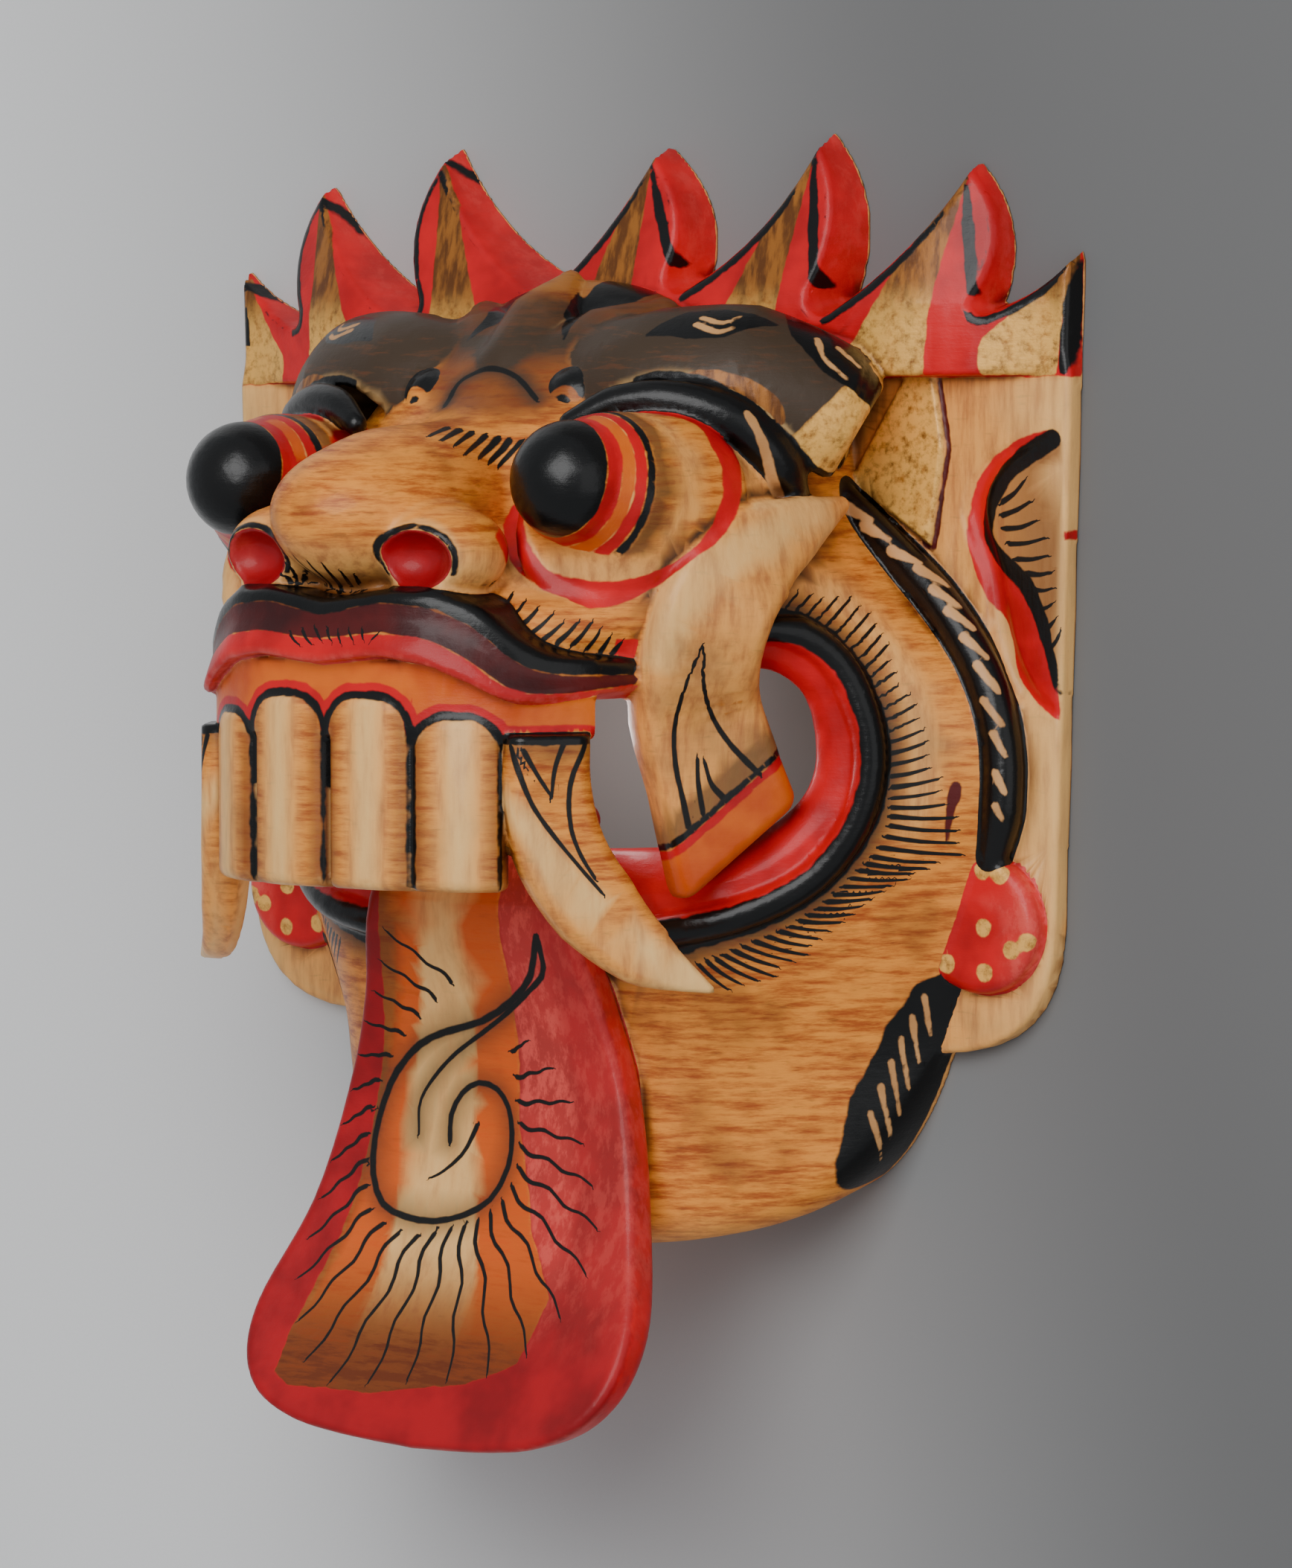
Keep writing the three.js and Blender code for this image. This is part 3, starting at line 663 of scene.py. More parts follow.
@dataclass
class Plate(Form):
    """The flat plate behind the face, with the ears at its sides and the crown of flames on top."""

    half_width: float = 110.0
    low_half: float = 106.0
    bottom: float = -52.0
    corner_at: Point = (78.0, -26.0)
    thick: float = 5.0
    crown_line: float = 85.5
    crown_thick: float = 14.5
    crown_edge_thick: float = 4.5
    lean: float = 0.22
    bevel: float = 0.3
    panel_corners: Points = ((70, 86), (77.5, 86), (80, 71), (76.5, 51), (56, 64))
    panel_out: float = 1.3
    ear_line: Points = (
        (104.5, 74, 6), (90, 67, 6), (86.5, 58, 6), (91, 46, 6), (93.5, 33, 6), (98, 23, 6), (107, 17.5, 6))
    ear_radii: Numbers = (0.8, 2.4, 3, 2.4, 2.8, 3, 1)
    fins: list[Fin] = field(init=False)
    outline: Array = field(init=False)
    ear: Rod = field(init=False)
    panel: Array = field(init=False)

    def __post_init__(self) -> None:
        """Works out what follows from the sizes."""
        side = [
            Fin((110, 84), (110, 98), (110, 111), (102, 103), (91, 100)),
            Fin((91, 100), (98, 116), (85, 129), (74, 112), (55, 102)),
            Fin((55, 102), (63, 121), (49, 136), (38, 116), (18, 107)),
        ]
        middle = Fin((18, 107), (23, 122), (7, 134.7), (-5, 116), (-18, 107))
        far = [Fin(*((-x, y) for x, y in (f.outer_valley, f.outer, f.tip, f.inner, f.valley))) for f in side]
        self.fins = side + [middle] + far
        w, low, v = self.half_width, self.bottom, self.low_half
        mid = ((v + w) / 2, (self.corner_at[1] + side[0].tip[1]) / 2)
        turns = [
            ((v - 1, low + 1), (v, self.corner_at[1])), (mid, side[0].tip),
            (side[0].inner, side[0].valley)]
        for f in side[1:] + [middle]:
            turns += [(f.outer, f.tip), (f.inner, f.valley)]
        for f in far[:0:-1]:
            turns += [(f.inner, f.tip), (f.outer, f.outer_valley)]
        turns += [(far[0].inner, far[0].tip), ((-mid[0], mid[1]), (-v, self.corner_at[1]))]
        turns += [((1 - v, low + 1), (-self.corner_at[0], low))]
        self.outline = shape_outline((self.corner_at[0], low), turns)
        self.ear = Rod(self.ear_line, self.ear_radii)
        self.panel = np.asarray(self.panel_corners, float)
        self.bound([(-w - 3, low, -6), (w + 3, 137, 18)], 0)

    def crown_top(self, p: Array) -> Array:
        """Height of the crown's front.

        Args:
            p: Places with a signed x.

        Returns:
            Heights over the back.
        """
        side = np.abs(p[:, 0])
        slope = self.crown_thick + (self.crown_edge_thick - self.crown_thick) * ramp(side, 68, 111)
        return slope - self.lean * np.maximum(0, p[:, 1] - 100)

    def front_edge(self, p: Array) -> Array:
        """Distance in plan to the edge of the crown's front."""
        d = outline_distance(self.outline, p[:, 0], p[:, 1])
        return d + self.bevel * self.crown_top(p) * ramp(p[:, 1], 84, 92)

    def distance(self, p: Array) -> Array:
        """Distance to the form.

        Args:
            p: Places, one row each.

        Returns:
            Distances, negative inside.
        """
        x, y, z = p.T
        edge = outline_distance(self.outline, x, y) + self.bevel * z * ramp(y, 84, 92)
        low = self.thick + self.panel_out * (1 - ramp(outline_distance(self.panel, np.abs(x), y), -0.8, 0.2))
        flames = meet(meet(edge, z - self.crown_top(p), 1.2), self.crown_line - y, 1.2)
        d = np.minimum(meet(edge, z - low, 1.2), flames)
        return cut(d, self.ear.near(np.column_stack([np.abs(x), y, z])), 1.0)


@dataclass
class Head(Form):
    """The face in plan, an arc in front running into a straight cheek plane, with jaw and chin."""

    levels: Numbers = (-96, -72, -50, -25, 0, 15, 20, 30, 45, 58, 70, 80, 100)
    cheek_angle: Numbers = (41, 41, 41, 43, 45, 42, 39, 32, 14, 3, 2, 3, 10)
    cheek_out: Numbers = (60, 61, 63, 69, 73.5, 76, 77, 78, 71.5, 60, 57, 56, 44)
    arc_centre: Numbers = (0, 0, 0, 0, 0, 0, 58, 58, 24, 12, 10, 2, -4)
    jaw_front: float = 50.0
    chin_bottom: float = -93.0
    chin_rise: float = 0.2
    jaw_side: float = 45.0
    jaw_side_run: float = 34.5
    jaw_side_rise: float = 29.5
    top: float = 96.0

    def __post_init__(self) -> None:
        """Works out what follows from the sizes."""
        self.angle = profile(self.levels, np.radians(self.cheek_angle), 5)
        self.out = profile(self.levels, self.cheek_out, 5)
        self.centre = profile(self.levels, self.arc_centre, 1.5)
        self.bound([(-3, -97, -6), (105, self.top, 118)], 0)

    def distance(self, p: Array) -> Array:
        """Distance to the form.

        Args:
            p: Places, one row each.

        Returns:
            Distances, negative inside.
        """
        x, y, z = p.T
        a = self.angle(y)
        nx, nz = np.cos(a), np.sin(a)
        out = self.out(y)
        zc = self.centre(y)
        arc = np.hypot(x, z - zc) - (out - zc * nz)
        wedge = np.where(x * nz < (z - zc) * nx, arc, x * nx + z * nz - out)
        jaw = (z - self.jaw_front) + (-60 - (z - self.jaw_front)) * ramp(y, 12, 19)
        run = np.maximum(x - self.jaw_side, 0) / self.jaw_side_run
        floor = self.chin_bottom + self.chin_rise * (self.jaw_front - z) + self.jaw_side_rise * run ** 2.6
        d = meet(wedge, jaw, 14)
        return meet(meet(d, floor - y, 9), y - self.top, 10)

    def lift(self, x: Array, y: Array) -> Array:
        """Height of the face over a place on the plan.

        Args:
            x: Distances from the middle.
            y: Heights up the face.

        Returns:
            Heights over the back.
        """
        low, high = np.zeros(len(x)), np.full(len(x), 130.0)
        for _ in range(24):
            mid = (low + high) / 2
            out = self.distance(np.column_stack([x, y, mid])) > 0
            high = np.where(out, mid, high)
            low = np.where(out, low, mid)
        return low


@dataclass
class Mouth:
    """The mouth: its opening, the slope into it and the ridge round it."""

    head: Head
    opening_points: Points = (
        (50, 22), (58, 27), (63, 23.5), (65.5, 14), (64, 3), (57, -5), (46, -8.5), (30, -10), (0, -11))
    ring_points: Points = (
        (60, 35), (66.5, 34), (72, 28), (76, 18), (77, 8), (74, -4), (67, -14.5), (58, -21), (46, -25),
        (28, -28), (0, -30))
    ring_radius: float = 3.4
    slope_wide: float = 9.0
    slope_deep: float = 6.0
    opening: Array = field(init=False)
    ring: Rod = field(init=False)

    def __post_init__(self) -> None:
        """Works out what follows from the sizes."""
        inner = curve_points(self.opening_points, 60)
        self.opening = np.vstack([[(-50, 22)], inner, [(-50, -11)]])
        q = np.asarray(self.ring_points, float)
        z = self.head.lift(q[:, 0], q[:, 1]) + 0.4
        r = [1.2] + [self.ring_radius] * (len(q) - 1)
        self.ring = Rod(np.column_stack([q, z]), r, 30)

    def across(self, p: Array) -> tuple[Array, Array]:
        """Place across the ridge.

        Args:
            p: Places with x from the middle.

        Returns:
            Distance from the ridge's middle line, and the offset over the face, positive outwards.
        """
        far, at, off = self.ring.path.nearest(p)
        a = self.head.angle(p[:, 1])
        face = np.column_stack([np.cos(a), np.zeros(len(p)), np.sin(a)])
        return far, np.einsum("ij,ij->i", off, np.cross(face, self.ring.path.tangent(at)))

    def carve(self, p: Array) -> Array:
        """The face with the mouth cut in it.

        Args:
            p: Places with x from the middle.

        Returns:
            Distance to the cut face.
        """
        m = outline_distance(self.opening, p[:, 0], p[:, 1])
        slope = self.slope_deep * np.clip(1 - m / self.slope_wide, 0, 1) ** 1.4
        below = 1 - ramp(p[:, 1], 14, 20) * (1 - ramp(p[:, 0], 52, 58))
        d = join(self.head.distance(p) + slope * below, self.ring.near(p), 1.2)
        return cut(d, m, 1.5)


@dataclass
class Row:
    """Plan of the front of the muzzle, that lip, gum and teeth follow."""

    points: Points = (
        (0, 105.2), (10, 105), (20.9, 103.4), (30, 99.3), (38, 94), (43, 87.5), (47, 80.5), (50, 71),
        (53, 60))
    plan: Array = field(init=False)

    def __post_init__(self) -> None:
        """Works out what follows from the sizes."""
        line = [(-20.9, 103.4), (-10, 105), *self.points]
        self.plan = np.vstack([[(-20.9, 60)], curve_points(line, 80)])

    def out(self, p: Array) -> Array:
        """Distance out from the plan."""
        return outline_distance(self.plan, p[:, 0], p[:, 2])


@dataclass
class Lip(Form):
    """The upper lip, a scalloped roll with a hollowed front and a sharp lower edge."""

    row: Row
    stations: Numbers = (0, 15, 25, 33, 38.5, 42, 48, 52)
    tops: Numbers = (41.4, 43.6, 43.4, 40.2, 34, 31, 29.5, 28)
    lows: Numbers = (28.8, 30.5, 29, 25.2, 21.6, 21.4, 23, 25)
    outs: Numbers = (3, 3, 3, 2.8, 2.4, 2, 1, 0)

    def __post_init__(self) -> None:
        """Works out what follows from the sizes."""
        self.top = profile(self.stations, self.tops, 2)
        self.low_edge = profile(self.stations, self.lows, 2)
        self.out = profile(self.stations, self.outs, 2)
        self.bound([(-1, 18, 42), (56, 46, 112)], 0)

    def chart(self, p: Array) -> tuple[Array, Array, Array]:
        """Place on the lip.

        Args:
            p: Places with x from the middle.

        Returns:
            Height across the lip from -1 to 1, half its height and distance out from the muzzle's plan.
        """
        top, low = self.top(p[:, 0]), self.low_edge(p[:, 0])
        half = (top - low) / 2
        return (p[:, 1] - (top + low) / 2) / half, half, self.row.out(p)

    def distance(self, p: Array) -> Array:
        """Distance to the form.

        Args:
            p: Places, one row each.

        Returns:
            Distances, negative inside.
        """
        v, half, out = self.chart(p)
        swell = self.out(p[:, 0]) * (0.8 - 0.6 * v) - 0.9 * bell(v - 0.1, 0.45)
        return corner(np.abs(v * half) - half, out - swell, 1.9)


@dataclass
class Gum(Form):
    """The band round the front of the muzzle that the teeth hang from, scalloped over each tooth."""

    row: Row
    half: float = 5.0
    middle: float = 22.0
    tall: float = 8.0
    end: float = 79.0

    def __post_init__(self) -> None:
        """Works out what follows from the sizes."""
        self.bound([(-1, 12, 70), (58, 31, 112)], 0)

    def distance(self, p: Array) -> Array:
        """Distance to the form, negative inside."""
        around = np.abs(self.row.out(p) + self.half) - self.half
        return np.maximum(corner(np.abs(p[:, 1] - self.middle) - self.tall, around, 1.5), self.end - p[:, 2])


@dataclass
class Tooth(Form):
    """One flat tooth with a rounded top, between two places on the plan."""

    start: Point
    end: Point
    top: float
    bottom: float = -15.7
    deep: float = 6.0

    def __post_init__(self) -> None:
        """Works out what follows from the sizes."""
        a, b = np.asarray(self.start, float), np.asarray(self.end, float)
        self.half = float(np.linalg.norm(b - a)) / 2
        self.u = (b - a) / self.half / 2
        self.mid = (a + b) / 2
        self.bound([(a[0], self.bottom, a[1]), (b[0], self.top, b[1])], 13)

    def chart(self, p: Array) -> tuple[Array, Array, Array]:
        """Place on the tooth.

        Args:
            p: Places with x from the middle.

        Returns:
            Offset across the tooth, offset out of its front and height over its middle.
        """
        dx, dz = p[:, 0] - self.mid[0], p[:, 2] - self.mid[1]
        u = dx * self.u[0] + dz * self.u[1]
        w = dz * self.u[0] - dx * self.u[1]
        return u, w, p[:, 1] - (self.top + self.bottom) / 2

    def face(self, p: Array) -> Array:
        """Distance to the tooth's outline, seen from the front.

        Args:
            p: Places with x from the middle.

        Returns:
            Distances, negative on the tooth.
        """
        u, _, v = self.chart(p)
        high = (self.top - self.bottom) / 2
        return corner(np.abs(u) - self.half + 0.5, np.abs(v) - high, np.where(v > 0, 7.5, 1.5))

    def distance(self, p: Array) -> Array:
        """Distance to the form, negative inside."""
        u, w, _ = self.chart(p)
        return meet(self.face(p), np.abs(w + self.deep) - self.deep + 0.02 * u * u, 3)


@dataclass
class Tongue(Form):
    """The long tongue: its middle as height and depth, and its half width by height."""

    line: Points = ((-4, 48), (-22, 56), (-40, 51.5), (-58, 49), (-88, 53.5), (-117, 67), (-134, 78))
    sides: Points = (
        (23, 0), (26, -20), (30.5, -40), (35.5, -58), (42, -85), (48.5, -106), (47.3, -116), (42, -123),
        (32, -127.7), (18, -130), (0, -131))
    half: float = 4.2
    scoop: float = 0.0022

    def __post_init__(self) -> None:
        """Works out what follows from the sizes."""
        self.path = Path([(0, *q) for q in self.line], 30)
        side = curve_points(self.sides, 60)
        self.outline = np.vstack([side, [(-20, -131), (-20, 0)]])
        self.bound([(-1, -132, 38), (50, 0, 92)], 0)

    def chart(self, p: Array) -> tuple[Array, Array]:
        """Place on the tongue.

        Args:
            p: Places with x from the middle.

        Returns:
            Height over the tongue's middle sheet and distance past its side.
        """
        flat = np.column_stack([np.zeros(len(p)), p[:, 1], p[:, 2]])
        far, _, off = self.path.nearest(flat)
        lift = np.where(off[:, 2] < 0, -far, far) - self.scoop * p[:, 0] ** 2
        return lift, outline_distance(self.outline, p[:, 0], p[:, 1])

    def distance(self, p: Array) -> Array:
        """Distance to the form, negative inside."""
        lift, edge = self.chart(p)
        return corner(edge, np.abs(lift) - self.half, 2.5)


@dataclass
class Eye:
    """A bulging eye: a cone ending in a ball, the rim round its foot, the socket and the lid."""

    line: Points = ((44, 57, 44), (43.4, 60, 60), (42.7, 63, 72), (42.2, 64.6, 80.5))
    radii: Numbers = (18.5, 18, 15.6, 11.9)
    rim_centre: Point = (46, 58.3, 65.4)
    rim_long: Point = (15.4, 0.9, -13.3)
    rim_high: Point = (0, 17.6, -6.2)
    rim_radii: Numbers = (1.6, 1.4, 1.4, 1.8, 2.6, 3, 2.2, 1.6)
    socket_line: Points = ((45, 63, 78), (42, 60, 28))
    socket_radii: Numbers = (21.5, 24)
    lid_line: Points = (
        (28, 76, 62), (36, 80, 58), (46, 80.5, 53), (56, 76.5, 46), (61.5, 68, 38), (60.5, 60, 30))
    lid_radii: Numbers = (2.4, 3.4, 4, 4.8, 4.6, 3)
    foot_thick: float = 8.0

    def __post_init__(self) -> None:
        """Works out what follows from the sizes."""
        self.ball = Rod(self.line, self.radii, 10)
        turn = np.linspace(0, 2 * math.pi, 17)[:, None]
        c, u, v = (np.asarray(q, float) for q in (self.rim_centre, self.rim_long, self.rim_high))
        self.rim = Rod(c + u * np.cos(turn) + v * np.sin(turn), self.rim_radii, 32)
        self.foot = Lens(self.rim_centre, self.rim_long, self.rim_high, self.foot_thick)
        self.socket = Rod(self.socket_line, self.socket_radii, 1)
        self.lid = Rod(self.lid_line, self.lid_radii, 16)


@dataclass
class Nose:
    """The snout, its bridge, the wings and the nostrils."""

    snout: Ellipsoid = field(default_factory=lambda: Ellipsoid((0, 58, 84), (20, 15.5, 29.5)))
    bridge: Rod = field(default_factory=lambda: Rod(((0, 61, 84), (0, 66, 58)), (13, 12), 1))
    wing: Ellipsoid = field(default_factory=lambda: Ellipsoid((20, 50.5, 92), (12, 9.5, 13)))
    nostril: Ellipsoid = field(default_factory=lambda: Ellipsoid((21, 49, 104), (8, 5.6, 7)))

    def carve(self, d: Array, p: Array) -> Array:
        """Adds the nose.

        Args:
            d: Distance to the face so far.
            p: Places with x from the middle.

        Returns:
            Distance with the nose.
        """
        for form, width in ((self.snout, 5), (self.bridge, 6), (self.wing, 3)):
            d = join(d, form.near(p), width)
        return cut(d, self.nostril.near(p), 1.2)


@dataclass
class Brow(Form):
    """A heavy brow, cut by the eye's socket and ending in a flat facet."""

    eye: Eye
    line: Points = ((14, 84.2, 33), (30, 81.5, 35), (47, 80.5, 29), (60, 76, 20), (65, 70, 12))
    radii: Numbers = (13, 18, 19.5, 16.5, 9)
    end_face: Point = (0.707, -0.505, -0.495)
    end_out: float = 1.0

    def __post_init__(self) -> None:
        """Works out what follows from the sizes."""
        self.roll = Rod(self.line, self.radii, 40)
        self.low, self.high = self.roll.low, self.roll.high

    def distance(self, p: Array) -> Array:
        """Distance to the form, negative inside."""
        d = meet(self.roll.distance(p), p @ np.asarray(self.end_face) - self.end_out, 1.5)
        return cut(d, self.eye.socket.distance(p), 1)


@dataclass
class Ornament:
    """The knob at the root of the nose, the curl beside it and the leaves above."""

    knob: Ellipsoid = field(default_factory=lambda: Ellipsoid((0, 80.5, 43), (13, 8.2, 11.5)))
    curl: Ellipsoid = field(default_factory=lambda: Ellipsoid((18.5, 81.5, 48.5), (5.6, 5.6, 5)))
    leaf: Rod = field(
        default_factory=lambda: Rod(((0, 86, 42), (0, 97, 34), (0, 105.5, 26)), (10, 8, 2.5), 8))
    side_leaf: Rod = field(
        default_factory=lambda: Rod(((7, 85, 40), (16, 92, 33), (23, 98, 25)), (9, 8.5, 4), 8))
    back: Ellipsoid = field(default_factory=lambda: Ellipsoid((0, 93, 20), (27, 13, 13)))

    def leaves(self, p: Array) -> Array:
        """Distance to the leaves."""
        d = join(self.back.near(p), self.leaf.near(p), 2)
        return join(d, self.side_leaf.near(p), 2)


@dataclass
class Earring(Form):
    """A round disc under the ear."""

    centre: Point = (90, -25)
    radius: float = 14.0
    top: float = 9.5

    def __post_init__(self) -> None:
        """Works out what follows from the sizes."""
        x, y = self.centre
        self.bound([(x, y, 0), (x, y, self.top)], self.radius)

    def distance(self, p: Array) -> Array:
        """Distance to the form, negative inside."""
        d = np.hypot(p[:, 0] - self.centre[0], p[:, 1] - self.centre[1]) - self.radius
        return corner(d, p[:, 2] - self.top, 2.5)


@dataclass
class Carving:
    """The whole mask as one distance, hollowed from behind."""

    wall: float = 9.0
    hollow_top: float = 80.0
    hollow_low: float = -80.0
    row: Row = field(default_factory=Row)
    head: Head = field(default_factory=Head)
    plate: Plate = field(default_factory=Plate)
    eye: Eye = field(default_factory=Eye)
    nose: Nose = field(default_factory=Nose)
    ornament: Ornament = field(default_factory=Ornament)
    tongue: Tongue = field(default_factory=Tongue)
    earring: Earring = field(default_factory=Earring)

    def __post_init__(self) -> None:
        """Makes the forms that lean on others."""
        self.mouth = Mouth(self.head)
        self.lip = Lip(self.row)
        self.gum = Gum(self.row)
        self.brow = Brow(self.eye)
        self.teeth = [Tooth((0, 107.2), (20.9, 105.4), 22.6), Tooth((20.9, 105.4), (38, 96.5), 18.8)]
        self.tusk = Horn(
            ((41, 16, 87), (41, 4, 87), (43, -8, 85), (48, -19, 80), (55.5, -28.5, 73.5), (66, -35, 66.5)),
            (8.5, 8.8, 9, 8.8, 6.4, 0.8), (5, 5, 5, 4.6, 3.4, 0.8), (0.82, 0, 0.57))
        self.tusk_top = 15.2
        self.cheek_tusk = Horn(
            ((57, -11, 45), (54.5, 6, 50), (53, 20, 54.5), (57, 31, 57.9), (61, 40.9, 57.4),
             (62.8, 48.9, 49.9), (64, 54.4, 37), (64, 59.4, 20.4)),
            (15, 13.5, 13, 12, 11.5, 10.5, 6.5, 1.5), (5, 5, 5, 4.6, 4.4, 4, 3.4, 2), (0.84, 0.06, 0.54), 26)
        self.root_cut = np.asarray((0.378, -0.777, -0.5))
        self.root_out = -4.3
        self.collar_long = 10.5
        self.band = Rod(
            ((56, 62, 9), (67, 52, 8), (80, 40.5, 8), (90.5, 26.5, 8), (95.3, 12.4, 8), (95.5, -2, 8),
             (93, -11, 7)),
            (3, 3.8, 4, 4, 4, 4, 3), 22)

    def outer(self, q: Array) -> Array:
        """Distance to the carved front.

        Args:
            q: Places with a signed x.

        Returns:
            Distances, negative in the wood.
        """
        p = np.column_stack([np.abs(q[:, 0]), q[:, 1], q[:, 2]])
        eye, knot = self.eye, self.ornament
        tusk, collar = self.cheek(p)
        d = join(join(self.mouth.carve(p), self.gum.near(p), 1.5), self.lip.near(p), 1.2)
        d = self.nose.carve(d, p)
        blends = [
            (self.brow.near(p), 2), (join(eye.ball.near(p), eye.foot.near(p), 4), 2.5),
            (eye.rim.near(p), 1.2), (eye.lid.near(p), 2),
            (knot.leaves(p), 2), (knot.knob.near(p), 1.5), (knot.curl.near(p), 1),
            *((tooth.near(p), 0.8) for tooth in self.teeth),
            (self.down_tusk(p), 0.8), (collar, 1.5), (tusk, 0.8), (self.tongue.near(p), 0.8),
            (np.minimum(self.plate.near(q), self.earring.near(p)), 1.2), (self.band.near(p), 1.2)]
        for form, width in blends:
            d = join(d, form, width)
        return d

    def down_tusk(self, p: Array) -> Array:
        """Distance to the tusk beside the teeth, cut off straight under the gum."""
        return meet(self.tusk.near(p), p[:, 1] - self.tusk_top, 0.8)

    def cheek(self, p: Array) -> tuple[Array, Array]:
        """Distance to the cheek tusk, and to the gum it stands in.

        Args:
            p: Places with x from the middle.

        Returns:
            Distances to the tusk and to the gum.
        """
        horn = self.cheek_tusk.near(p)
        past = p @ self.root_cut - self.root_out
        return meet(horn, past, 0.8), corner(horn - 0.3, past - self.collar_long, 2.5)

    def hollow(self, q: Array) -> Array:
        """Distance to the wearer's side of the wall.

        Args:
            q: Places with a signed x.

        Returns:
            Distances, negative in the hollow.
        """
        y = np.clip(q[:, 1], self.head.chin_bottom, 78)
        p = np.column_stack([np.abs(q[:, 0]), y, np.maximum(q[:, 2], 0)])
        ends = np.maximum(q[:, 1] - self.hollow_top, self.hollow_low - q[:, 1])
        return meet(self.head.distance(p) + self.wall, ends, 16)

    def distance(self, q: Array) -> Array:
        """Distance to the mask."""
        return np.maximum(np.maximum(self.outer(q), -self.hollow(q)), -q[:, 2])


@dataclass
class Mesher:
    """Turns a distance into a mesh."""

    low: Point = (-114.0, -135.0, -4.0)
    high: Point = (114.0, 140.0, 118.0)
    pitch: float = 0.9
    skip: int = 4
    reach: float = 3.4
    most: int = 190000
    batch: int = 40000
    threads: int = 4
    furthest: float = 0.6

    def spread(self, measure: Measure, q: Array) -> Array:
        """Measures many places on several threads.

        Args:
            measure: Function of places.
            q: Places, one row each.

        Returns:
            One value a place.
        """
        parts = np.array_split(q, max(1, len(q) // self.batch))
        with ThreadPoolExecutor(self.threads) as pool:
            return np.concatenate(list(pool.map(measure, parts)))

    def volume(self, measure: Measure) -> Array:
        """Distances on a fine grid, exact near the surface.

        Args:
            measure: Distance of places.

        Returns:
            A block of distances.
        """
        low = np.asarray(self.low)
        step = self.pitch * self.skip
        cells = np.ceil((np.asarray(self.high) - low) / step).astype(int)
        axes = [low[i] + step * np.arange(cells[i] + 1) for i in range(3)]
        nodes = np.stack(np.meshgrid(*axes, indexing="ij"), -1).reshape(-1, 3)
        grid = self.spread(measure, nodes).reshape(cells + 1)
        for axis in range(3):
            n = grid.shape[axis]
            f = np.arange((n - 1) * self.skip + 1) / self.skip
            i = np.minimum(f.astype(int), n - 2)
            shape = [1, 1, 1]
            shape[axis] = -1
            t = (f - i).reshape(shape)
            grid = np.take(grid, i, axis) * (1 - t) + np.take(grid, i + 1, axis) * t
        close = np.nonzero(np.abs(grid) < self.reach)
        q = low + self.pitch * np.column_stack(close)
        grid[close] = self.spread(measure, q)
        return grid.astype(np.float32)

    def build(
            self, name: str, measure: Measure,
            keen: Callable[[Array, Array], Array]) -> bpy.types.Object:
        """Meshes a distance.

        Args:
            name: Name of the new object.
            measure: Distance of places, in millimetres.
            keen: Tells from places and normals where the mesh has to stay fine.

        Returns:
            The object, its mesh in millimetres.
        """
        block = self.volume(measure)
        grid = openvdb.FloatGrid()
        grid.copyFromArray(block)
        points, quads = grid.convertToQuads(isovalue=0.0)
        at = np.asarray(points, float)
        slope = [np.gradient(block, self.pitch, axis=i) for i in range(3)]
        cell = np.clip(np.rint(at).astype(int), 0, np.asarray(block.shape) - 1)
        n = np.column_stack([s[tuple(cell.T)] for s in slope])
        n /= np.maximum(np.linalg.norm(n, axis=1), 1e-6)[:, None]
        p = np.asarray(self.low) + self.pitch * at
        for _ in range(2):
            p -= n * np.clip(self.spread(measure, p), -self.furthest, self.furthest)[:, None]
        mesh = bpy.data.meshes.new(name)
        mesh.from_pydata(p.tolist(), [], np.asarray(quads).tolist())
        mesh.update()
        made = hang(name, mesh)
        self.thin(made, keen(p, n))
        return made

    def thin(self, made: bpy.types.Object, fine: Array) -> None:
        """Brings a mesh under its limit of triangles.

        Args:
            made: Object to thin.
            fine: True at each point that has to stay.
        """
        group = made.vertex_groups.new(name="loose")
        group.add(np.nonzero(~fine)[0].tolist(), 1.0, "REPLACE")
        tri = made.modifiers.new("triangles", "TRIANGULATE")
        count = 2 * len(made.data.polygons)
        thin = made.modifiers.new("thin", "DECIMATE")
        thin.ratio = min(1.0, self.most / count)
        thin.vertex_group = group.name
        thin.vertex_group_factor = 1.0
        graph = bpy.context.evaluated_depsgraph_get()
        mesh = bpy.data.meshes.new_from_object(made.evaluated_get(graph))
        made.modifiers.remove(thin)
        made.modifiers.remove(tri)
        made.vertex_groups.remove(group)
        old = made.data
        made.data = mesh
        bpy.data.meshes.remove(old)
        mesh.name = made.name


def blob(centres: Points, radius: float, p: Array) -> Array:
    """Distance to a set of round spots, negative in a spot."""
    return np.min([np.linalg.norm(p - np.asarray(c), axis=1) for c in centres], axis=0) - radius


def stripe(points: Points, widths: Numbers, p: Array, n: Array) -> Array:
    """Distance along the surface to a painted stripe.

    Args:
        points: Middle line of the stripe.
        widths: Half widths listed along it.
        p: Places, one row each.
        n: Normals at the places.

    Returns:
        Distances, negative in the stripe.
    """
    _, at, off = Path(points, 24).nearest(p)
    off = off - np.einsum("ij,ij->i", off, n)[:, None] * n
    return np.linalg.norm(off, axis=1) - along(widths, at)


def skin(d: Array, room: float = 0.5) -> Array:
    """Limit that holds paint to one form: well below zero on it, zero where the room round it ends."""
    return 4 * (d - room)


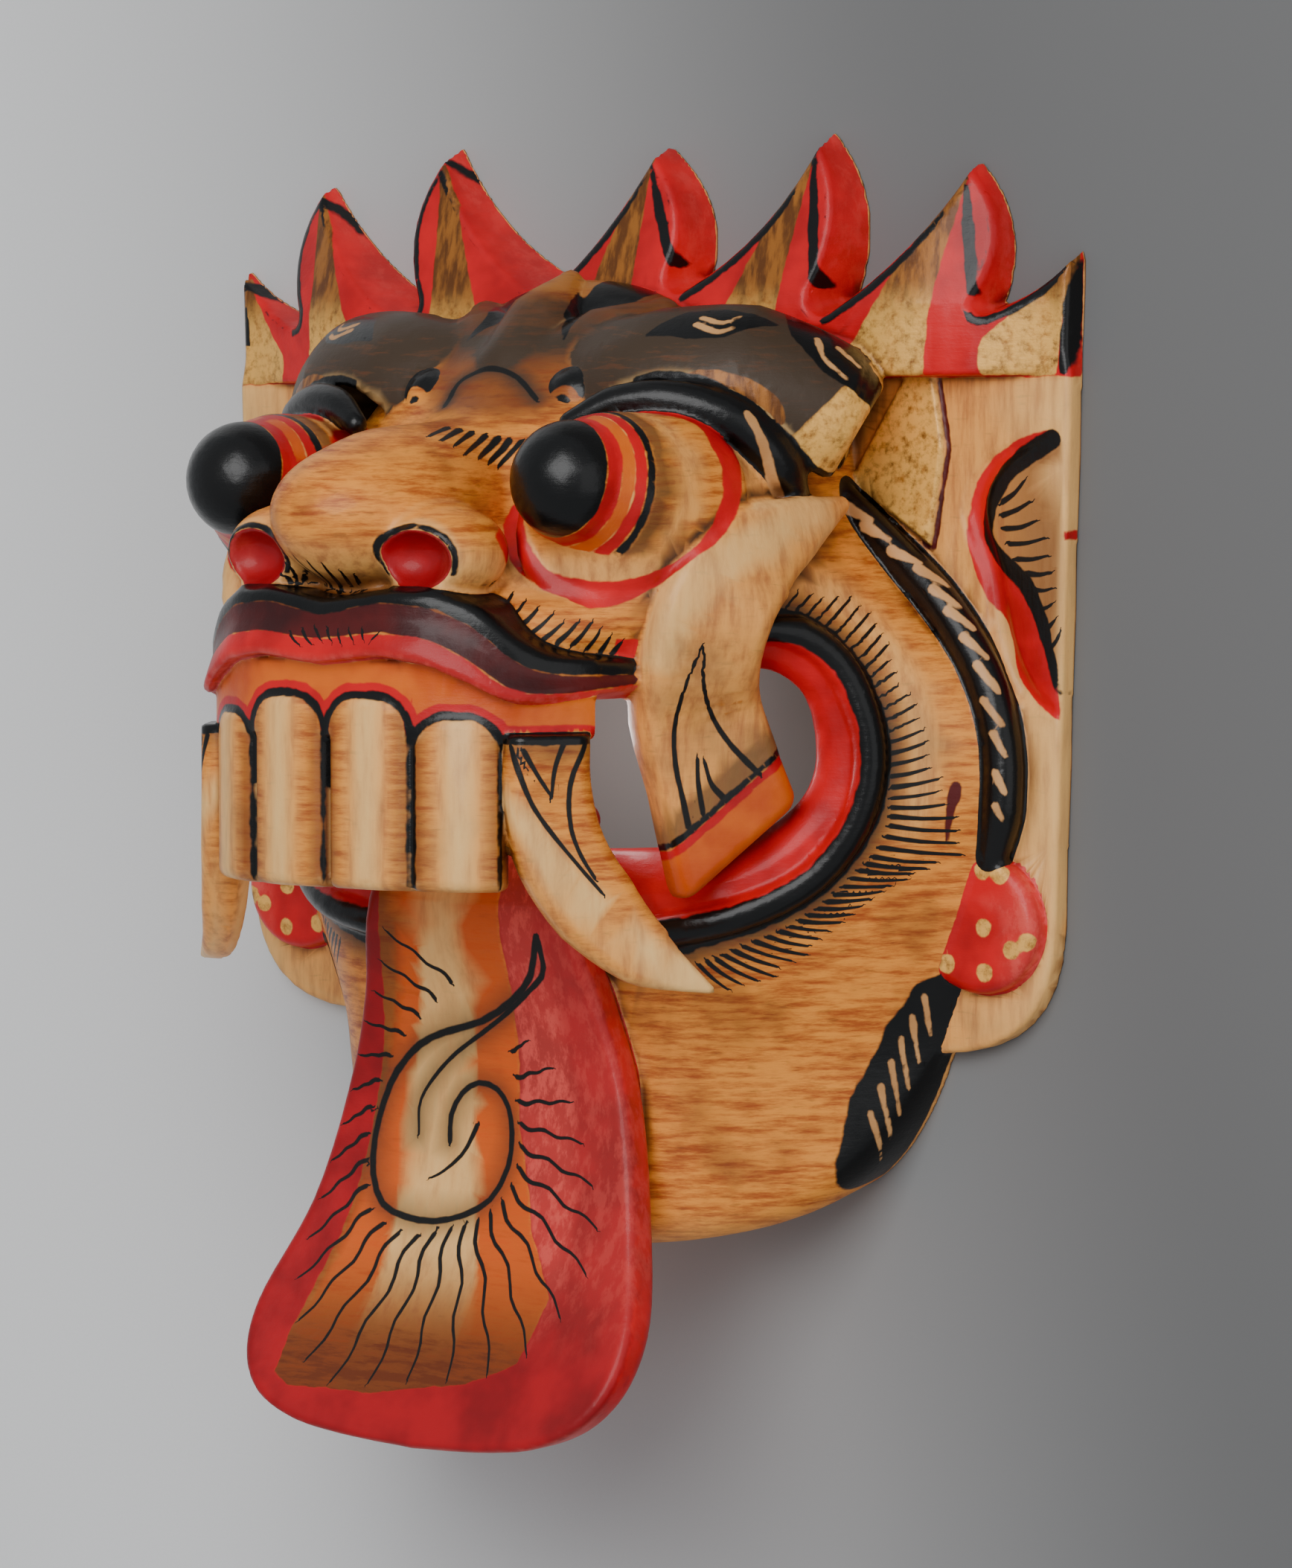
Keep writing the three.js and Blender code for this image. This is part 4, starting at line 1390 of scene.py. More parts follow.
@dataclass
class CrownPaint:
    """Red flames with gold hearts and black edges, their side walls pinker as a painted highlight."""

    plate: Plate
    heart: Numbers = (0.8, 2.4, 4.0, 6.0, 8.6)
    heart_low: float = 89.0
    heart_lean: float = 2.0
    line: Numbers = (0.3, 1.1, 1.3, 1.0)
    line_in: float = 2.4
    edge_line: float = 0.9
    edge_in: float = 0.9
    edge_low: float = 94.0
    front_deep: float = 0.9
    rosy_fade: Point = (0.0, 3.0)
    leaf_fade: Point = (95, 106)

    def apply(self, coat: Coat) -> None:
        """Paints the crown.

        Args:
            coat: Paint of the mask.
        """
        p, z = coat.places, coat.places[:, 2]
        on = np.maximum(skin(self.plate.near(p)), np.maximum(self.plate.crown_line - 0.3 - p[:, 1], 0.4 - z))
        wall = self.plate.crown_top(p) - z - self.front_deep
        edge = self.plate.front_edge(p)
        best = np.full(len(p), np.inf)
        heart, line, wide = np.full(len(p), 9.0), np.full(len(p), 9.0), np.zeros(len(p))
        flat = p[:, :2]
        for f in self.plate.fins:
            left, right = sorted((f.outer_valley, f.valley))
            low = ((left[0] + right[0]) / 2 - self.heart_lean, self.heart_low)
            far, at, off = Path([f.tip, low], 1).nearest(flat)
            heart = np.minimum(heart, far - along(self.heart, at))
            hit = far < best
            best[hit] = far[hit]
            thin = self.edge_line * (1 - 0.5 * ramp(p[:, 1], left[1] + 6, f.tip[1]))
            wide[hit] = np.where(off[:, 0] < 0, thin, 0)[hit]
            end = (right[0] - self.line_in, right[1] + 2.5)
            far, at, _ = Path([(f.tip[0] - 0.5, f.tip[1] - 3), end], 1).nearest(flat)
            line = np.minimum(line, far - along(self.line, at))
        coat.lay(Colour.RED, on)
        coat.lay(Colour.GOLD, on, wall, heart)
        coat.lay(Colour.BLACK, on, line)
        coat.lay(Colour.BLACK, on, wall, np.abs(edge + self.edge_in) - wide, self.edge_low - p[:, 1])
        # Painted highlight: the side walls below the flames' fronts turn pinker.
        coat.tint(Wash.PINK, 0.3 * ramp(wall, *self.rosy_fade), on)
        coat.tint(Wash.LEAF, 0.9 - 0.9 * ramp(p[:, 1], *self.leaf_fade), on)


@dataclass
class PlatePaint:
    """Pale plate with a gold panel and a red and black ear."""

    plate: Plate
    ear_outer: Points = (
        (104.4, 74.9), (95.8, 72.2), (88.8, 67.3), (85.4, 61.5), (84.5, 54.3), (85.8, 48.9), (89.5, 40.8),
        (94.1, 35.5), (97, 23.9), (106.8, 16.6))
    ear_inner: Points = (
        (104.9, 72.7), (98.1, 69.1), (92.8, 64.2), (90.1, 58.8), (89.6, 53.4), (92.7, 49), (98.2, 44.6),
        (102, 38.4), (103.6, 33.9), (105.2, 28.6), (106.8, 22))
    ear_black: Numbers = (2.2, 2.2, 2, 1.7, 1.7, 1.6, 1.8, 1.6, 1.4, 1.2, 0.5)
    lash_roots: Points = (
        (93.3, 60.2, 5), (93.9, 55.2, 5), (96, 49.9, 5), (100.3, 44.6, 5), (103.6, 36.6, 5),
        (105.2, 31.3, 5))
    lash_tips: Points = (
        (98.6, 64.6, 5), (102.4, 57.1, 5), (104.5, 50.9, 5), (105.1, 44.7, 5), (106, 38.4, 5), (107, 34, 5))
    mark: Point = (109, 53.6)
    mark_half: Point = (1.4, 1)
    bowl_side: Points = ((107, 30), (107.5, 72))
    cream_fade: Point = (88, 108)
    brown_fade: Point = (92, 104)
    panel_line: Point = (0.5, 0.55)
    panel_line_from: float = 74.0

    def apply(self, coat: Coat) -> None:
        """Paints the plate.

        Args:
            coat: Paint of the mask.
        """
        p = coat.half
        x, y, z = p.T
        plate = skin(self.plate.near(coat.places))
        on = np.maximum.reduce([plate, y - self.plate.crown_line + 0.2, 0.4 - z])
        inner = curve_points(self.ear_inner, 40)
        outer = curve_points(self.ear_outer, 40)
        red = outline_distance(np.vstack([outer, inner[::-1]]), x, y)
        bowl = outline_distance(np.vstack([inner, self.bowl_side]), x, y)
        far, at, _ = Path(self.ear_inner, 40).nearest(p[:, :2])
        panel = outline_distance(self.plate.panel, x, y)
        coat.tint(Wash.CREAM, 0.35 + 0.45 * ramp(x, *self.cream_fade), on)
        coat.tint(Wash.BROWN, 0.55 + 0.25 * ramp(x, *self.brown_fade), on, bowl)
        coat.spare(Colour.GOLD, on, -panel)
        coat.lay(Colour.RED, on, red)
        coat.lay(Colour.BLACK, on, far - along(self.ear_black, at))
        coat.lay(Colour.GOLD, on, panel + 0.2)
        at_line, half_line = self.panel_line
        coat.lay(Colour.MAROON, on, np.abs(panel - at_line) - half_line, self.panel_line_from - x)
        coat.tint(Wash.LEAF, 1.0, on, panel)
        mark = [np.abs(v - at) - half for v, at, half in zip((x, y), self.mark, self.mark_half)]
        coat.lay(Colour.RED, on, *mark)
        coat.fan(self.lash_roots, self.lash_tips, count=10, width=0.6)


@dataclass
class BandPaint:
    """Black hair band with pale dashes, and the red earring with gold spots below it."""

    band: Rod
    earring: Earring
    dash_starts: Points = (
        (59.5, 59.2, 12), (64.2, 55.3, 11.7), (71, 50.2, 11.6), (76.9, 46.9, 11), (80.9, 42.6, 11.3),
        (84.6, 38.4, 11.4), (88.4, 33.1, 11.5), (91.7, 27.6, 11.6), (93.6, 20.5, 12), (95.9, 13.9, 12),
        (96.4, 6.3, 12), (96.4, -0.4, 12))
    dash_ends: Points = (
        (65.4, 56.5, 11), (69.8, 52.6, 11), (76.9, 47.8, 10.2), (82.9, 43.1, 8.6), (86.1, 39.1, 9.4),
        (89.5, 34.9, 9.5), (93, 29.2, 9.9), (96, 22.3, 10.1), (97.4, 15.7, 10.9), (98.3, 9.5, 11),
        (98.4, 1.9, 11.1), (97.6, -3.5, 11))
    spots: Points = (
        (91.8, -13.7, 9.5), (96, -14.4, 9.4), (92.1, -25.2, 9.5), (83.3, -33.1, 9.5), (92.4, -34.4, 9.5),
        (98.8, -29.5, 9.5), (102.3, -27.6, 9.1), (81.5, -30.3, 9.5))
    spot_radius: float = 1.9
    foot: float = 3.5
    rosy_fade: Point = (94, 101)

    def apply(self, coat: Coat) -> None:
        """Paints the band and the earring.

        Args:
            coat: Paint of the mask.
        """
        p = coat.half
        coat.lay(Colour.BLACK, skin(self.band.near(p), 0.9))
        for i, (a, b) in enumerate(zip(self.dash_starts, self.dash_ends)):
            coat.dash((a, b), width=1.3 - 0.04 * i, tip=0.5, steps=3)
        on = np.maximum(skin(self.earring.near(p)), self.foot - p[:, 2])
        coat.lay(Colour.RED, on)
        coat.lay(Colour.GOLD, on, blob(self.spots, self.spot_radius, p))
        coat.tint(Wash.LEAF, 1.0, on)
        coat.tint(Wash.PINK, 0.9 * ramp(p[:, 0], *self.rosy_fade), on)


@dataclass
class MouthPaint:
    """Red inner lip, black ridge and the lashes round it, with painted shade just outside the ridge and a
    painted sheen beyond.
    """

    mouth: Mouth
    roots: Points = (
        (64.5, 38.6, 44), (66, 37.4, 42), (68.1, 36, 40.2), (70.9, 32.8, 37.7), (74.2, 30.2, 33.6),
        (76.3, 27, 31), (78.4, 22, 29.5), (79.9, 15.6, 28.4), (79.8, 8.5, 24.8), (79.9, 1.4, 23.9),
        (78.9, -5, 23.4), (76.4, -10.2, 24.3), (73.1, -14, 26.3), (69.4, -18.5, 28.8), (64.8, -23, 32.2),
        (60.4, -26.2, 35.9), (55.4, -28.7, 39.9), (51.1, -31, 42.6), (47.1, -32.7, 44.8))
    tips: Points = (
        (64, 43.4, 37.3), (65.6, 42.6, 35), (67.7, 41.7, 30), (70.1, 40.4, 24), (73.4, 36.8, 21),
        (76, 32.5, 21.1), (79.4, 24.9, 22.1), (82.4, 18.6, 20.8), (84.6, 10.3, 19.5), (87.2, 2.9, 16.6),
        (88.7, -6.4, 12.9), (86.6, -11.6, 13.2), (81.2, -14.8, 17.7), (76.2, -18, 21.8), (70.5, -23, 26),
        (65.5, -28, 29.8), (62.2, -31.8, 31.8), (57.3, -35.3, 35.9), (51.3, -37.7, 40.8))
    red_from: float = 1.8
    red_deep: float = 3.0
    red_wide: float = 26.0
    red_top: float = 36.0
    line_at: float = -2.2
    line_half: float = 0.7
    black_at: float = 1.1
    black_half: float = 3.4
    grey_from: float = 3.2
    grey_fade: Point = (4, 10)
    sheen_at: float = 11.0
    sheen_wide: float = 4.0
    sheen_fade: Point = (-12, 0)

    def apply(self, coat: Coat, others: Array) -> None:
        """Paints the mouth.

        Args:
            coat: Paint of the mask.
            others: Distance to the forms that stand in the mouth.
        """
        p = coat.half
        m = outline_distance(self.mouth.opening, p[:, 0], p[:, 1])
        far, side = self.mouth.across(p)
        clear = -skin(others)
        inner = np.maximum(side + self.red_from, -self.red_deep - m)
        coat.lay(Colour.RED, inner, far - self.red_wide, clear, p[:, 1] - self.red_top)
        coat.lay(Colour.MAROON, np.abs(side - self.line_at) - self.line_half, far - 6, clear)
        coat.lay(Colour.BLACK, np.abs(side - self.black_at) - self.black_half, far - 7, clear)
        # Painted shade: a grey fade just outside the ridge; further out a painted highlight of cream, the
        # sheen.
        outside = self.grey_from - side
        coat.tint(Wash.GREY, 0.9 * (1 - ramp(side, *self.grey_fade)), outside, far - 12, clear)
        sheen = bell(side - self.sheen_at, self.sheen_wide) * ramp(p[:, 1], *self.sheen_fade)
        coat.tint(Wash.CREAM, 0.5 * sheen, clear, outside)
        coat.fan(self.roots, self.tips, count=48, width=0.55, bend=0.03)


@dataclass
class LipPaint:
    """Black, maroon and red lip with a painted pink highlight on its lower edge, orange gum with red
    scallops, pale teeth with black gaps, painted highlight and shade.
    """

    lip: Lip
    gum: Gum
    teeth: Sequence[Tooth]
    stations: Numbers = (0, 12, 28, 37, 46)
    black_low: Numbers = (0.5, 0.6, 0.5, 0.39, 0.1)
    maroon_low: Numbers = (-0.25, -0.3, -0.31, -0.46, -0.8)
    scallop: float = 2.5
    gap: float = 1.5
    gum_side: float = 34.0
    gum_low: float = 17.0
    rim_half: float = 0.85
    rosy_fade: Point = (-1, -0.7)
    brown_fade: Point = (-0.1, 0.4)
    highlight_at: float = 0.8
    highlight_wide: float = 3.6
    beard_roots: Points = (
        (-13.1, 44.5, 100.1), (-8.1, 43, 99.6), (-4.7, 43.2, 98.6), (-0.4, 43.5, 98.5), (3.7, 44.5, 99))
    beard_tips: Points = (
        (-15.8, 47.9, 98), (-7.3, 49.6, 106.3), (-1.6, 50, 108), (2.4, 48.5, 106), (4.7, 45.9, 101.3))
    side_roots: Points = (
        (33.6, 39.3, 93.1), (36.9, 35.8, 89.8), (39.6, 33.5, 85.8), (42.6, 32.7, 81.3), (45.1, 31.3, 76),
        (46.9, 31.2, 72.7))
    side_tips: Points = (
        (31.5, 42, 85.8), (37.9, 39.1, 84.6), (42, 36.9, 82.3), (45.3, 36.7, 79), (47.3, 34.2, 75.6),
        (48, 33.3, 71.7))
    tick_roots: Points = (
        (-6.7, 34.3, 107.6), (0.1, 35.5, 106.6), (5.1, 34.8, 107.2), (9.5, 35.3, 107.1),
        (15.2, 34.7, 107.2))
    tick_tips: Points = (
        (-3.9, 32.4, 108.2), (2.6, 33, 107.9), (6.7, 32.8, 108.2), (11.2, 33.6, 107.8), (14.1, 33.5, 107.7))

    def apply(self, coat: Coat) -> None:
        """Paints lip, gum and teeth.

        Args:
            coat: Paint of the mask.
        """
        p = coat.half
        v, half, _ = self.lip.chart(p)
        on = skin(self.lip.near(p))
        top = np.interp(p[:, 0], self.stations, self.black_low)
        low = np.interp(p[:, 0], self.stations, self.maroon_low)
        rim = np.min([t.face(p) for t in self.teeth], axis=0)
        white = skin(np.min([t.near(p) for t in self.teeth], axis=0), 0.4)
        band = np.maximum(skin(self.gum.near(p)), -on)
        coat.lay(Colour.ORANGE, band, 0.4 - white)
        corners = np.maximum(self.gum_side - p[:, 0], p[:, 1] - self.gum_low)
        coat.lay(Colour.RED, band, np.minimum(rim - self.scallop, corners), -white)
        coat.lay(Colour.BLACK, np.minimum(band, white), np.abs(rim - 0.1) - self.rim_half, 4 - p[:, 1])
        coat.lay(Colour.MAROON, on, (v - top) * half, (low - v) * half)
        coat.lay(Colour.RED, on, (v - low) * half)
        coat.lay(Colour.BLACK, on, (top - v) * half)
        # Painted highlight: the lip's lower edge turns pink.
        coat.tint(Wash.PINK, 0.8 * (1 - ramp(v, *self.rosy_fade)), on)
        coat.tint(Wash.BROWN, 0.9 * ramp(v, *self.brown_fade), on)
        for t in self.teeth:
            u, w, _ = t.chart(p)
            at = skin(t.near(p), 0.4)
            coat.lay(Colour.BLACK, at, t.half - self.gap - np.abs(u), -3 - w)
            # Painted highlight down the middle of each tooth and painted shade towards its sides.
            coat.tint(Wash.CREAM, 0.95 * bell(u - self.highlight_at, self.highlight_wide), at)
            coat.tint(Wash.GREY, 0.5 * ramp(u, t.half - 5, t.half - 2), at)
            coat.tint(Wash.BROWN, 0.75 * ramp(-u, t.half - 5.5, t.half - 1.5), at)
        coat.fan(self.beard_roots, self.beard_tips, count=8, width=0.6, bend=0.03, both=False)
        coat.fan(self.side_roots, self.side_tips, count=10, width=0.65, bend=0.03)
        coat.fan(self.tick_roots, self.tick_tips, count=8, width=0.35, bend=0.05, both=False)


@dataclass
class TuskPaint:
    """Lines on the tusks, painted highlights and shade on them, and the gum at the root of the cheek tusk."""

    carving: Carving
    top_line: float = 1.9
    tusk_lines: Sequence[Points] = (
        ((39.2, 12.9, 95.6), (41.5, 6, 94.8), (42.8, 1.4, 93.2), (44.8, -3.2, 90.7), (47.8, -9, 87),
         (51.6, -15.7, 82.6)),
        ((48.6, 13.8, 83.9), (47, 5.3, 87), (47.4, -3.3, 87), (48.8, -8.5, 85.6), (50.5, -12.7, 83.6)),
        ((41.7, 12, 94.6), (43.1, 8, 92.7), (44.7, 3.8, 90.4)),
        ((46.3, 13.5, 88.1), (45.3, 8.8, 89.5), (44.9, 3.1, 90.1)))
    # Middle line of a painted highlight down the tusk's ridge.
    light: Points = (
        (37.2, 2.5, 94.9), (42.7, -3.7, 93.6), (46.4, -12.4, 89.1), (50.2, -18.8, 84.6), (57, -28, 76),
        (65, -34.5, 68))
    highlight_wide: Numbers = (0.1, 0.6, 1.6, 2, 1.6, 1.5)
    cheek_lines: Sequence[Points] = (
        ((58.8, 32.8, 61.1), (56.3, 25, 62.6), (53.8, 16.2, 62.3), (53.6, 8, 61.5), (54.1, 2.2, 60.1),
         (54.7, -3.8, 58.8)),
        ((59, 32.5, 60.7), (58.3, 25, 59.4), (58.1, 17.9, 55.4), (59.8, 12.1, 51.4), (62.7, 6.4, 46.2)),
        ((56, 9.7, 57.6), (56, 4.7, 57.3), (56.3, -1, 56.2)),
        ((56.8, 9.1, 56.3), (57.4, 4.6, 54.9), (58.6, 1.9, 52.7)))
    cheek_highlight: Points = ((52.5, 30, 66), (56.5, 40, 64.5), (60, 46.5, 59), (62.5, 52, 48), (62.5, 57, 30))
    cheek_highlight_wide: Numbers = (0.5, 1.5, 2.5, 2.5, 1)
    shadow_line_at: float = 2.0
    shadow_line_wide: float = 1.0
    shadow_line_fade: Point = (30, 36)
    shadow_line_room: float = 1.3
    shade_fade: Point = (8, 13)
    highlight_soft: float = 2.2
    cheek_highlight_soft: float = 2.5
    collar_room: float = 1.1
    collar_top: float = 20.0
    root_fade: Point = (-6.5, -4.5)

    def apply(self, coat: Coat) -> None:
        """Paints the tusks.

        Args:
            coat: Paint of the mask.
        """
        p, n = coat.half, coat.facing
        on = skin(self.carving.down_tusk(p))
        for colour in (Colour.ORANGE, Colour.RED):
            coat.spare(colour, on)
        coat.lay(Colour.BLACK, on, self.carving.tusk_top - self.top_line - p[:, 1])
        coat.tint(Wash.GREY, 0.6 * ramp(p[:, 1], *self.shade_fade), on)
        # Painted highlight: cream along the tusk's ridge.
        light = stripe(self.light, self.highlight_wide, p, n)
        coat.tint(Wash.CREAM, bell(light.clip(0), self.highlight_soft), on)
        for i, line in enumerate(self.tusk_lines):
            coat.stroke(line, width=0.62, tip=0.6, steps=12, layer=i % INK_LAYERS)
        horn = self.carving.cheek_tusk.near(p)
        past = p @ self.carving.root_cut - self.carving.root_out
        root = skin(horn, self.collar_room)
        collar = np.maximum(root, p[:, 1] - self.collar_top)
        beyond = past - self.carving.collar_long
        for colour in (Colour.RED, Colour.BLACK, Colour.MAROON):
            coat.spare(colour, root, beyond)
        coat.lay(Colour.ORANGE, collar, 1.6 - past, beyond)
        coat.lay(Colour.RED, collar, 0.1 - past, past - 1.9)
        coat.lay(Colour.BLACK, collar, np.abs(past + 0.5) - 0.7)
        # Painted shade: grey at the tusk's base, where it goes into its gum.
        coat.tint(Wash.GREY, 0.75 * ramp(past, *self.root_fade), collar, past)
        # Painted highlight: cream along the upper part of the cheek tusk.
        cheek_highlight = stripe(self.cheek_highlight, self.cheek_highlight_wide, p, n)
        coat.tint(Wash.CREAM, 0.8 * bell(cheek_highlight.clip(0), self.cheek_highlight_soft), skin(horn, 0.6))
        coat.tint(Wash.CREAM, 0.3, skin(horn, 0.6), past)
        # Painted shadow: a dark brown-grey line on the cheek beside the upper cheek tusk.
        shadow_line = bell(horn - self.shadow_line_at, self.shadow_line_wide) * ramp(p[:, 1], *self.shadow_line_fade)
        for wash in (Wash.BROWN, Wash.GREY):
            coat.tint(wash, 0.9 * shadow_line, self.shadow_line_room - horn)
        for i, line in enumerate(self.cheek_lines):
            coat.stroke(line, width=0.4, tip=1.7, steps=12, layer=i % INK_LAYERS)


@dataclass
class EyePaint:
    """Rings on the bulging eye with a painted shine, its red rim and the black lid, and the nostrils, pinker
    on their outer side as a painted highlight.
    """

    eye: Eye
    nose: Nose
    axis: Point = (-0.057, 0.219, 0.974)
    pupil: float = 2.6
    rings: Sequence[tuple[Colour, float, float]] = (
        (Colour.RED, 2.6, -1.0), (Colour.ORANGE, -1.0, -3.6), (Colour.RED, -3.6, -6.0),
        (Colour.BLACK, -6.0, -7.6))
    low_shift: float = 0.07
    shine_at: float = -2.9
    shine_wide: float = 0.7
    foot_fade: Point = (11, 13)
    grey_from: Point = (7, 8)
    grey_to: Point = (10.8, 11.6)
    rim_size: float = 20.0
    rim_room: float = 9.0
    rim_back: float = 40.0
    rim_low: float = -42.0
    nostril_line: Point = (1.2, 0.65)
    nostril_low: float = 46.0
    nostril_fade: Point = (22, 28)
    rim_centre: Point = (44, 57.5, 63)
    rim_long: Point = (18, 1, -15.5)
    rim_high: Point = (0, 20, -7)
    rim_turns: Numbers = (-180, -165, -140, -115, -92, -70, -47, -20, 0, 20, 45, 66, 90, 120, 180)
    rim_in: Numbers = (0.9, 0.88, 0.83, 0.75, 0.73, 0.72, 0.72, 0.72, 0.72, 0.73, 0.78, 0.9, 0.95, 1, 0.9)
    rim_out: Numbers = (
        1.08, 1.12, 1.03, 1.05, 0.96, 0.85, 0.81, 0.87, 0.88, 0.9, 0.97, 1.04, 1.05, 1.05, 1.08)
    lid_light: Points = (
        (61, 77.8, 47.2), (62.6, 74.4, 46), (63.2, 69.9, 44.4), (62.2, 64.3, 40.6), (61.6, 59.7, 35.9))

    def apply(self, coat: Coat) -> None:
        """Paints the eyes and nostrils.

        Args:
            coat: Paint of the mask.
        """
        p = coat.half
        off = p - np.asarray(self.eye.line[-1])
        a = off @ np.asarray(self.axis)
        a = a - self.low_shift * np.minimum(off[:, 1], 0)
        on = skin(self.eye.ball.near(p), 0.4)
        for colour, high, low in self.rings:
            coat.lay(colour, on, a - high, low - a)
        coat.lay(Colour.BLACK, on, self.pupil - a)
        coat.tint(Wash.CREAM, bell(a - self.shine_at, self.shine_wide) + 0.35 * ramp(-a, *self.foot_fade), on)
        # A grey band down the cone, just past the black ring.
        coat.tint(Wash.GREY, 0.75 * ramp(-a, *self.grey_from) * (1 - ramp(-a, *self.grey_to)), on)
        u, v = np.asarray(self.rim_long, float), np.asarray(self.rim_high, float)
        q = p - np.asarray(self.rim_centre, float)
        basis = np.linalg.pinv(np.column_stack([u, v]))
        c, s = (q @ basis.T).T
        e = np.hypot(c, s)
        turn = np.degrees(np.arctan2(s, c))
        inner = np.interp(turn, self.rim_turns, self.rim_in)
        outer = np.interp(turn, self.rim_turns, self.rim_out)
        near = np.maximum(self.eye.ball.near(p) - self.rim_room, self.rim_back - p[:, 2])
        ring = np.maximum(inner - e, e - outer) * self.rim_size
        coat.lay(Colour.RED, near, ring, self.rim_low - a)
        coat.lay(Colour.BLACK, skin(self.eye.lid.near(p), 0.6))
        coat.dash(self.lid_light, width=0.9, tip=1.3, steps=10)
        d = self.nose.nostril.near(p)
        coat.lay(Colour.RED, skin(d))
        at_line, half_line = self.nostril_line
        coat.lay(Colour.BLACK, np.abs(d - at_line) - half_line, self.nostril_low - p[:, 1])
        coat.lay(Colour.DEEP, skin(d))
        # Painted highlight: the outer side of each nostril turns pinker.
        coat.tint(Wash.PINK, 0.3 * ramp(p[:, 0], *self.nostril_fade), skin(d))


@dataclass
class BrowPaint:
    """Grey-brown brows with black leaves and gold ends, and the ornament between them, with painted shade
    round the knob and between the brows.
    """

    brow: Brow
    ornament: Ornament
    leaves: Sequence[Points] = (
        ((36, 94, 48), (43, 96.5, 44), (50, 97, 40.5), (59, 97, 34)),
        ((56, 99, 26), (63, 95.5, 28), (69.5, 90, 26.5), (75, 82, 21)))
    leaf_wide: Sequence[Numbers] = ((0.4, 4.8, 5.2, 0.4), (0.8, 5.8, 7, 4.4))
    pale: Sequence[Points] = (
        ((45.1, 96.6, 40.8), (49.8, 95.6, 40.5), (51.9, 97, 37.1)),
        ((45.1, 95.3, 42.8), (50.2, 93.9, 42.5), (52.3, 94.6, 40.6)),
        ((64.3, 92.4, 28.3), (67.3, 89.1, 30.6), (71.7, 84.7, 28.3)),
        ((67.3, 90.8, 25.5), (71.2, 87, 23.9)))
    gold: Points = (
        (46, 84.6, 55), (48, 85.3, 50), (53.9, 84.7, 46.6), (59.4, 82.2, 43.5), (62.5, 79.4, 41.1),
        (63.6, 76.7, 40.2))
    gold_wide: Numbers = (0.4, 1.2, 1.7, 1.9, 1.7, 1.2)
    gold_end: Point = (68.7, 77.8, 35.2)
    gold_face: Point = (0.581, -0.711, -0.385)
    recess: Points = ((12.5, 93.1, 44.4), (10.5, 97.5, 37.5), (11.5, 102, 29.5), (12, 105, 22))
    recess_wide: Numbers = (0.3, 2.4, 5.2, 6.5)
    knob_edge: Points = (
        (-8.2, 79.8, 57.1), (-7.5, 84.5, 53.3), (-3.3, 86.8, 52.2), (2, 87, 52.2), (6.7, 85.5, 52.6),
        (13.7, 80.8, 54.9))
    shade_at: Point = (3, 88, 44)
    shade_wide: Point = (25, 17, 26)
    curl_eye: Point = (19.3, 79.9, 54)
    curl_ring: Point = (3.0, 0.9)
    brown_fade: Point = (48, 66)
    edge_room: float = 2.2
    edge_from: float = 36.0
    top_fade: Point = (92, 99)
    leaf_fade: Point = (4, 14)
    shade_fade: Point = (0.75, 1.05)
    grey_fade: Point = (86, 92)
    grey_end: Point = (0.8, 1)
    knob_soft: float = 2.2
    strand_roots: Points = (
        (5.4, 75.1, 73), (7.7, 74.2, 68.6), (9.8, 73.4, 65.7), (12.6, 72.5, 63.8), (15.7, 72.2, 62.6))
    strand_tips: Points = (
        (8.8, 73, 84), (11.5, 71.4, 79), (13.7, 69.6, 77), (14.6, 68.2, 72.4), (14.6, 67.4, 68.3))

    def apply(self, coat: Coat) -> None:
        """Paints brows and ornament.

        Args:
            coat: Paint of the mask.
        """
        p, n = coat.half, coat.facing
        on = skin(self.brow.near(p), 0.6)
        end = (np.asarray(self.gold_end) - p) @ np.asarray(self.gold_face)
        coat.tint(Wash.GREY, 1.15, on)
        coat.tint(Wash.BROWN, 0.8 * ramp(p[:, 0], *self.brown_fade), on)
        coat.lay(Colour.GOLD, on, end)
        coat.tint(Wash.LEAF, 1.0, on, end)
        coat.lay(Colour.GOLD, on, stripe(self.gold, self.gold_wide, p, n))
        # Black on the outer brow's underside by the socket: partly black paint, partly painted shade of the
        # underside.
        socket = self.brow.eye.socket.distance(p)
        coat.lay(Colour.BLACK, on, socket - self.edge_room, self.edge_from - p[:, 0])
        for line, wide in zip(self.leaves, self.leaf_wide):
            coat.lay(Colour.BLACK, on, stripe(line, wide, p, n))
        for line in self.pale:
            coat.dash(line, width=0.75, tip=0.7)
        o = self.ornament
        top = skin(o.leaves(p), 0.6)
        coat.tint(Wash.GREY, 0.6 * (1 - ramp(p[:, 1], *self.top_fade)) + 0.6, top)
        coat.tint(Wash.BROWN, 0.9 * ramp(p[:, 0], *self.leaf_fade), top)
        coat.lay(Colour.BLACK, top, stripe(self.recess, self.recess_wide, p, n))
        away = (coat.places - np.asarray(self.shade_at)) / np.asarray(self.shade_wide)
        shade = np.linalg.norm(away, axis=1)
        coat.tint(Wash.BROWN, 0.85 * (1 - ramp(shade, *self.shade_fade)), -on)
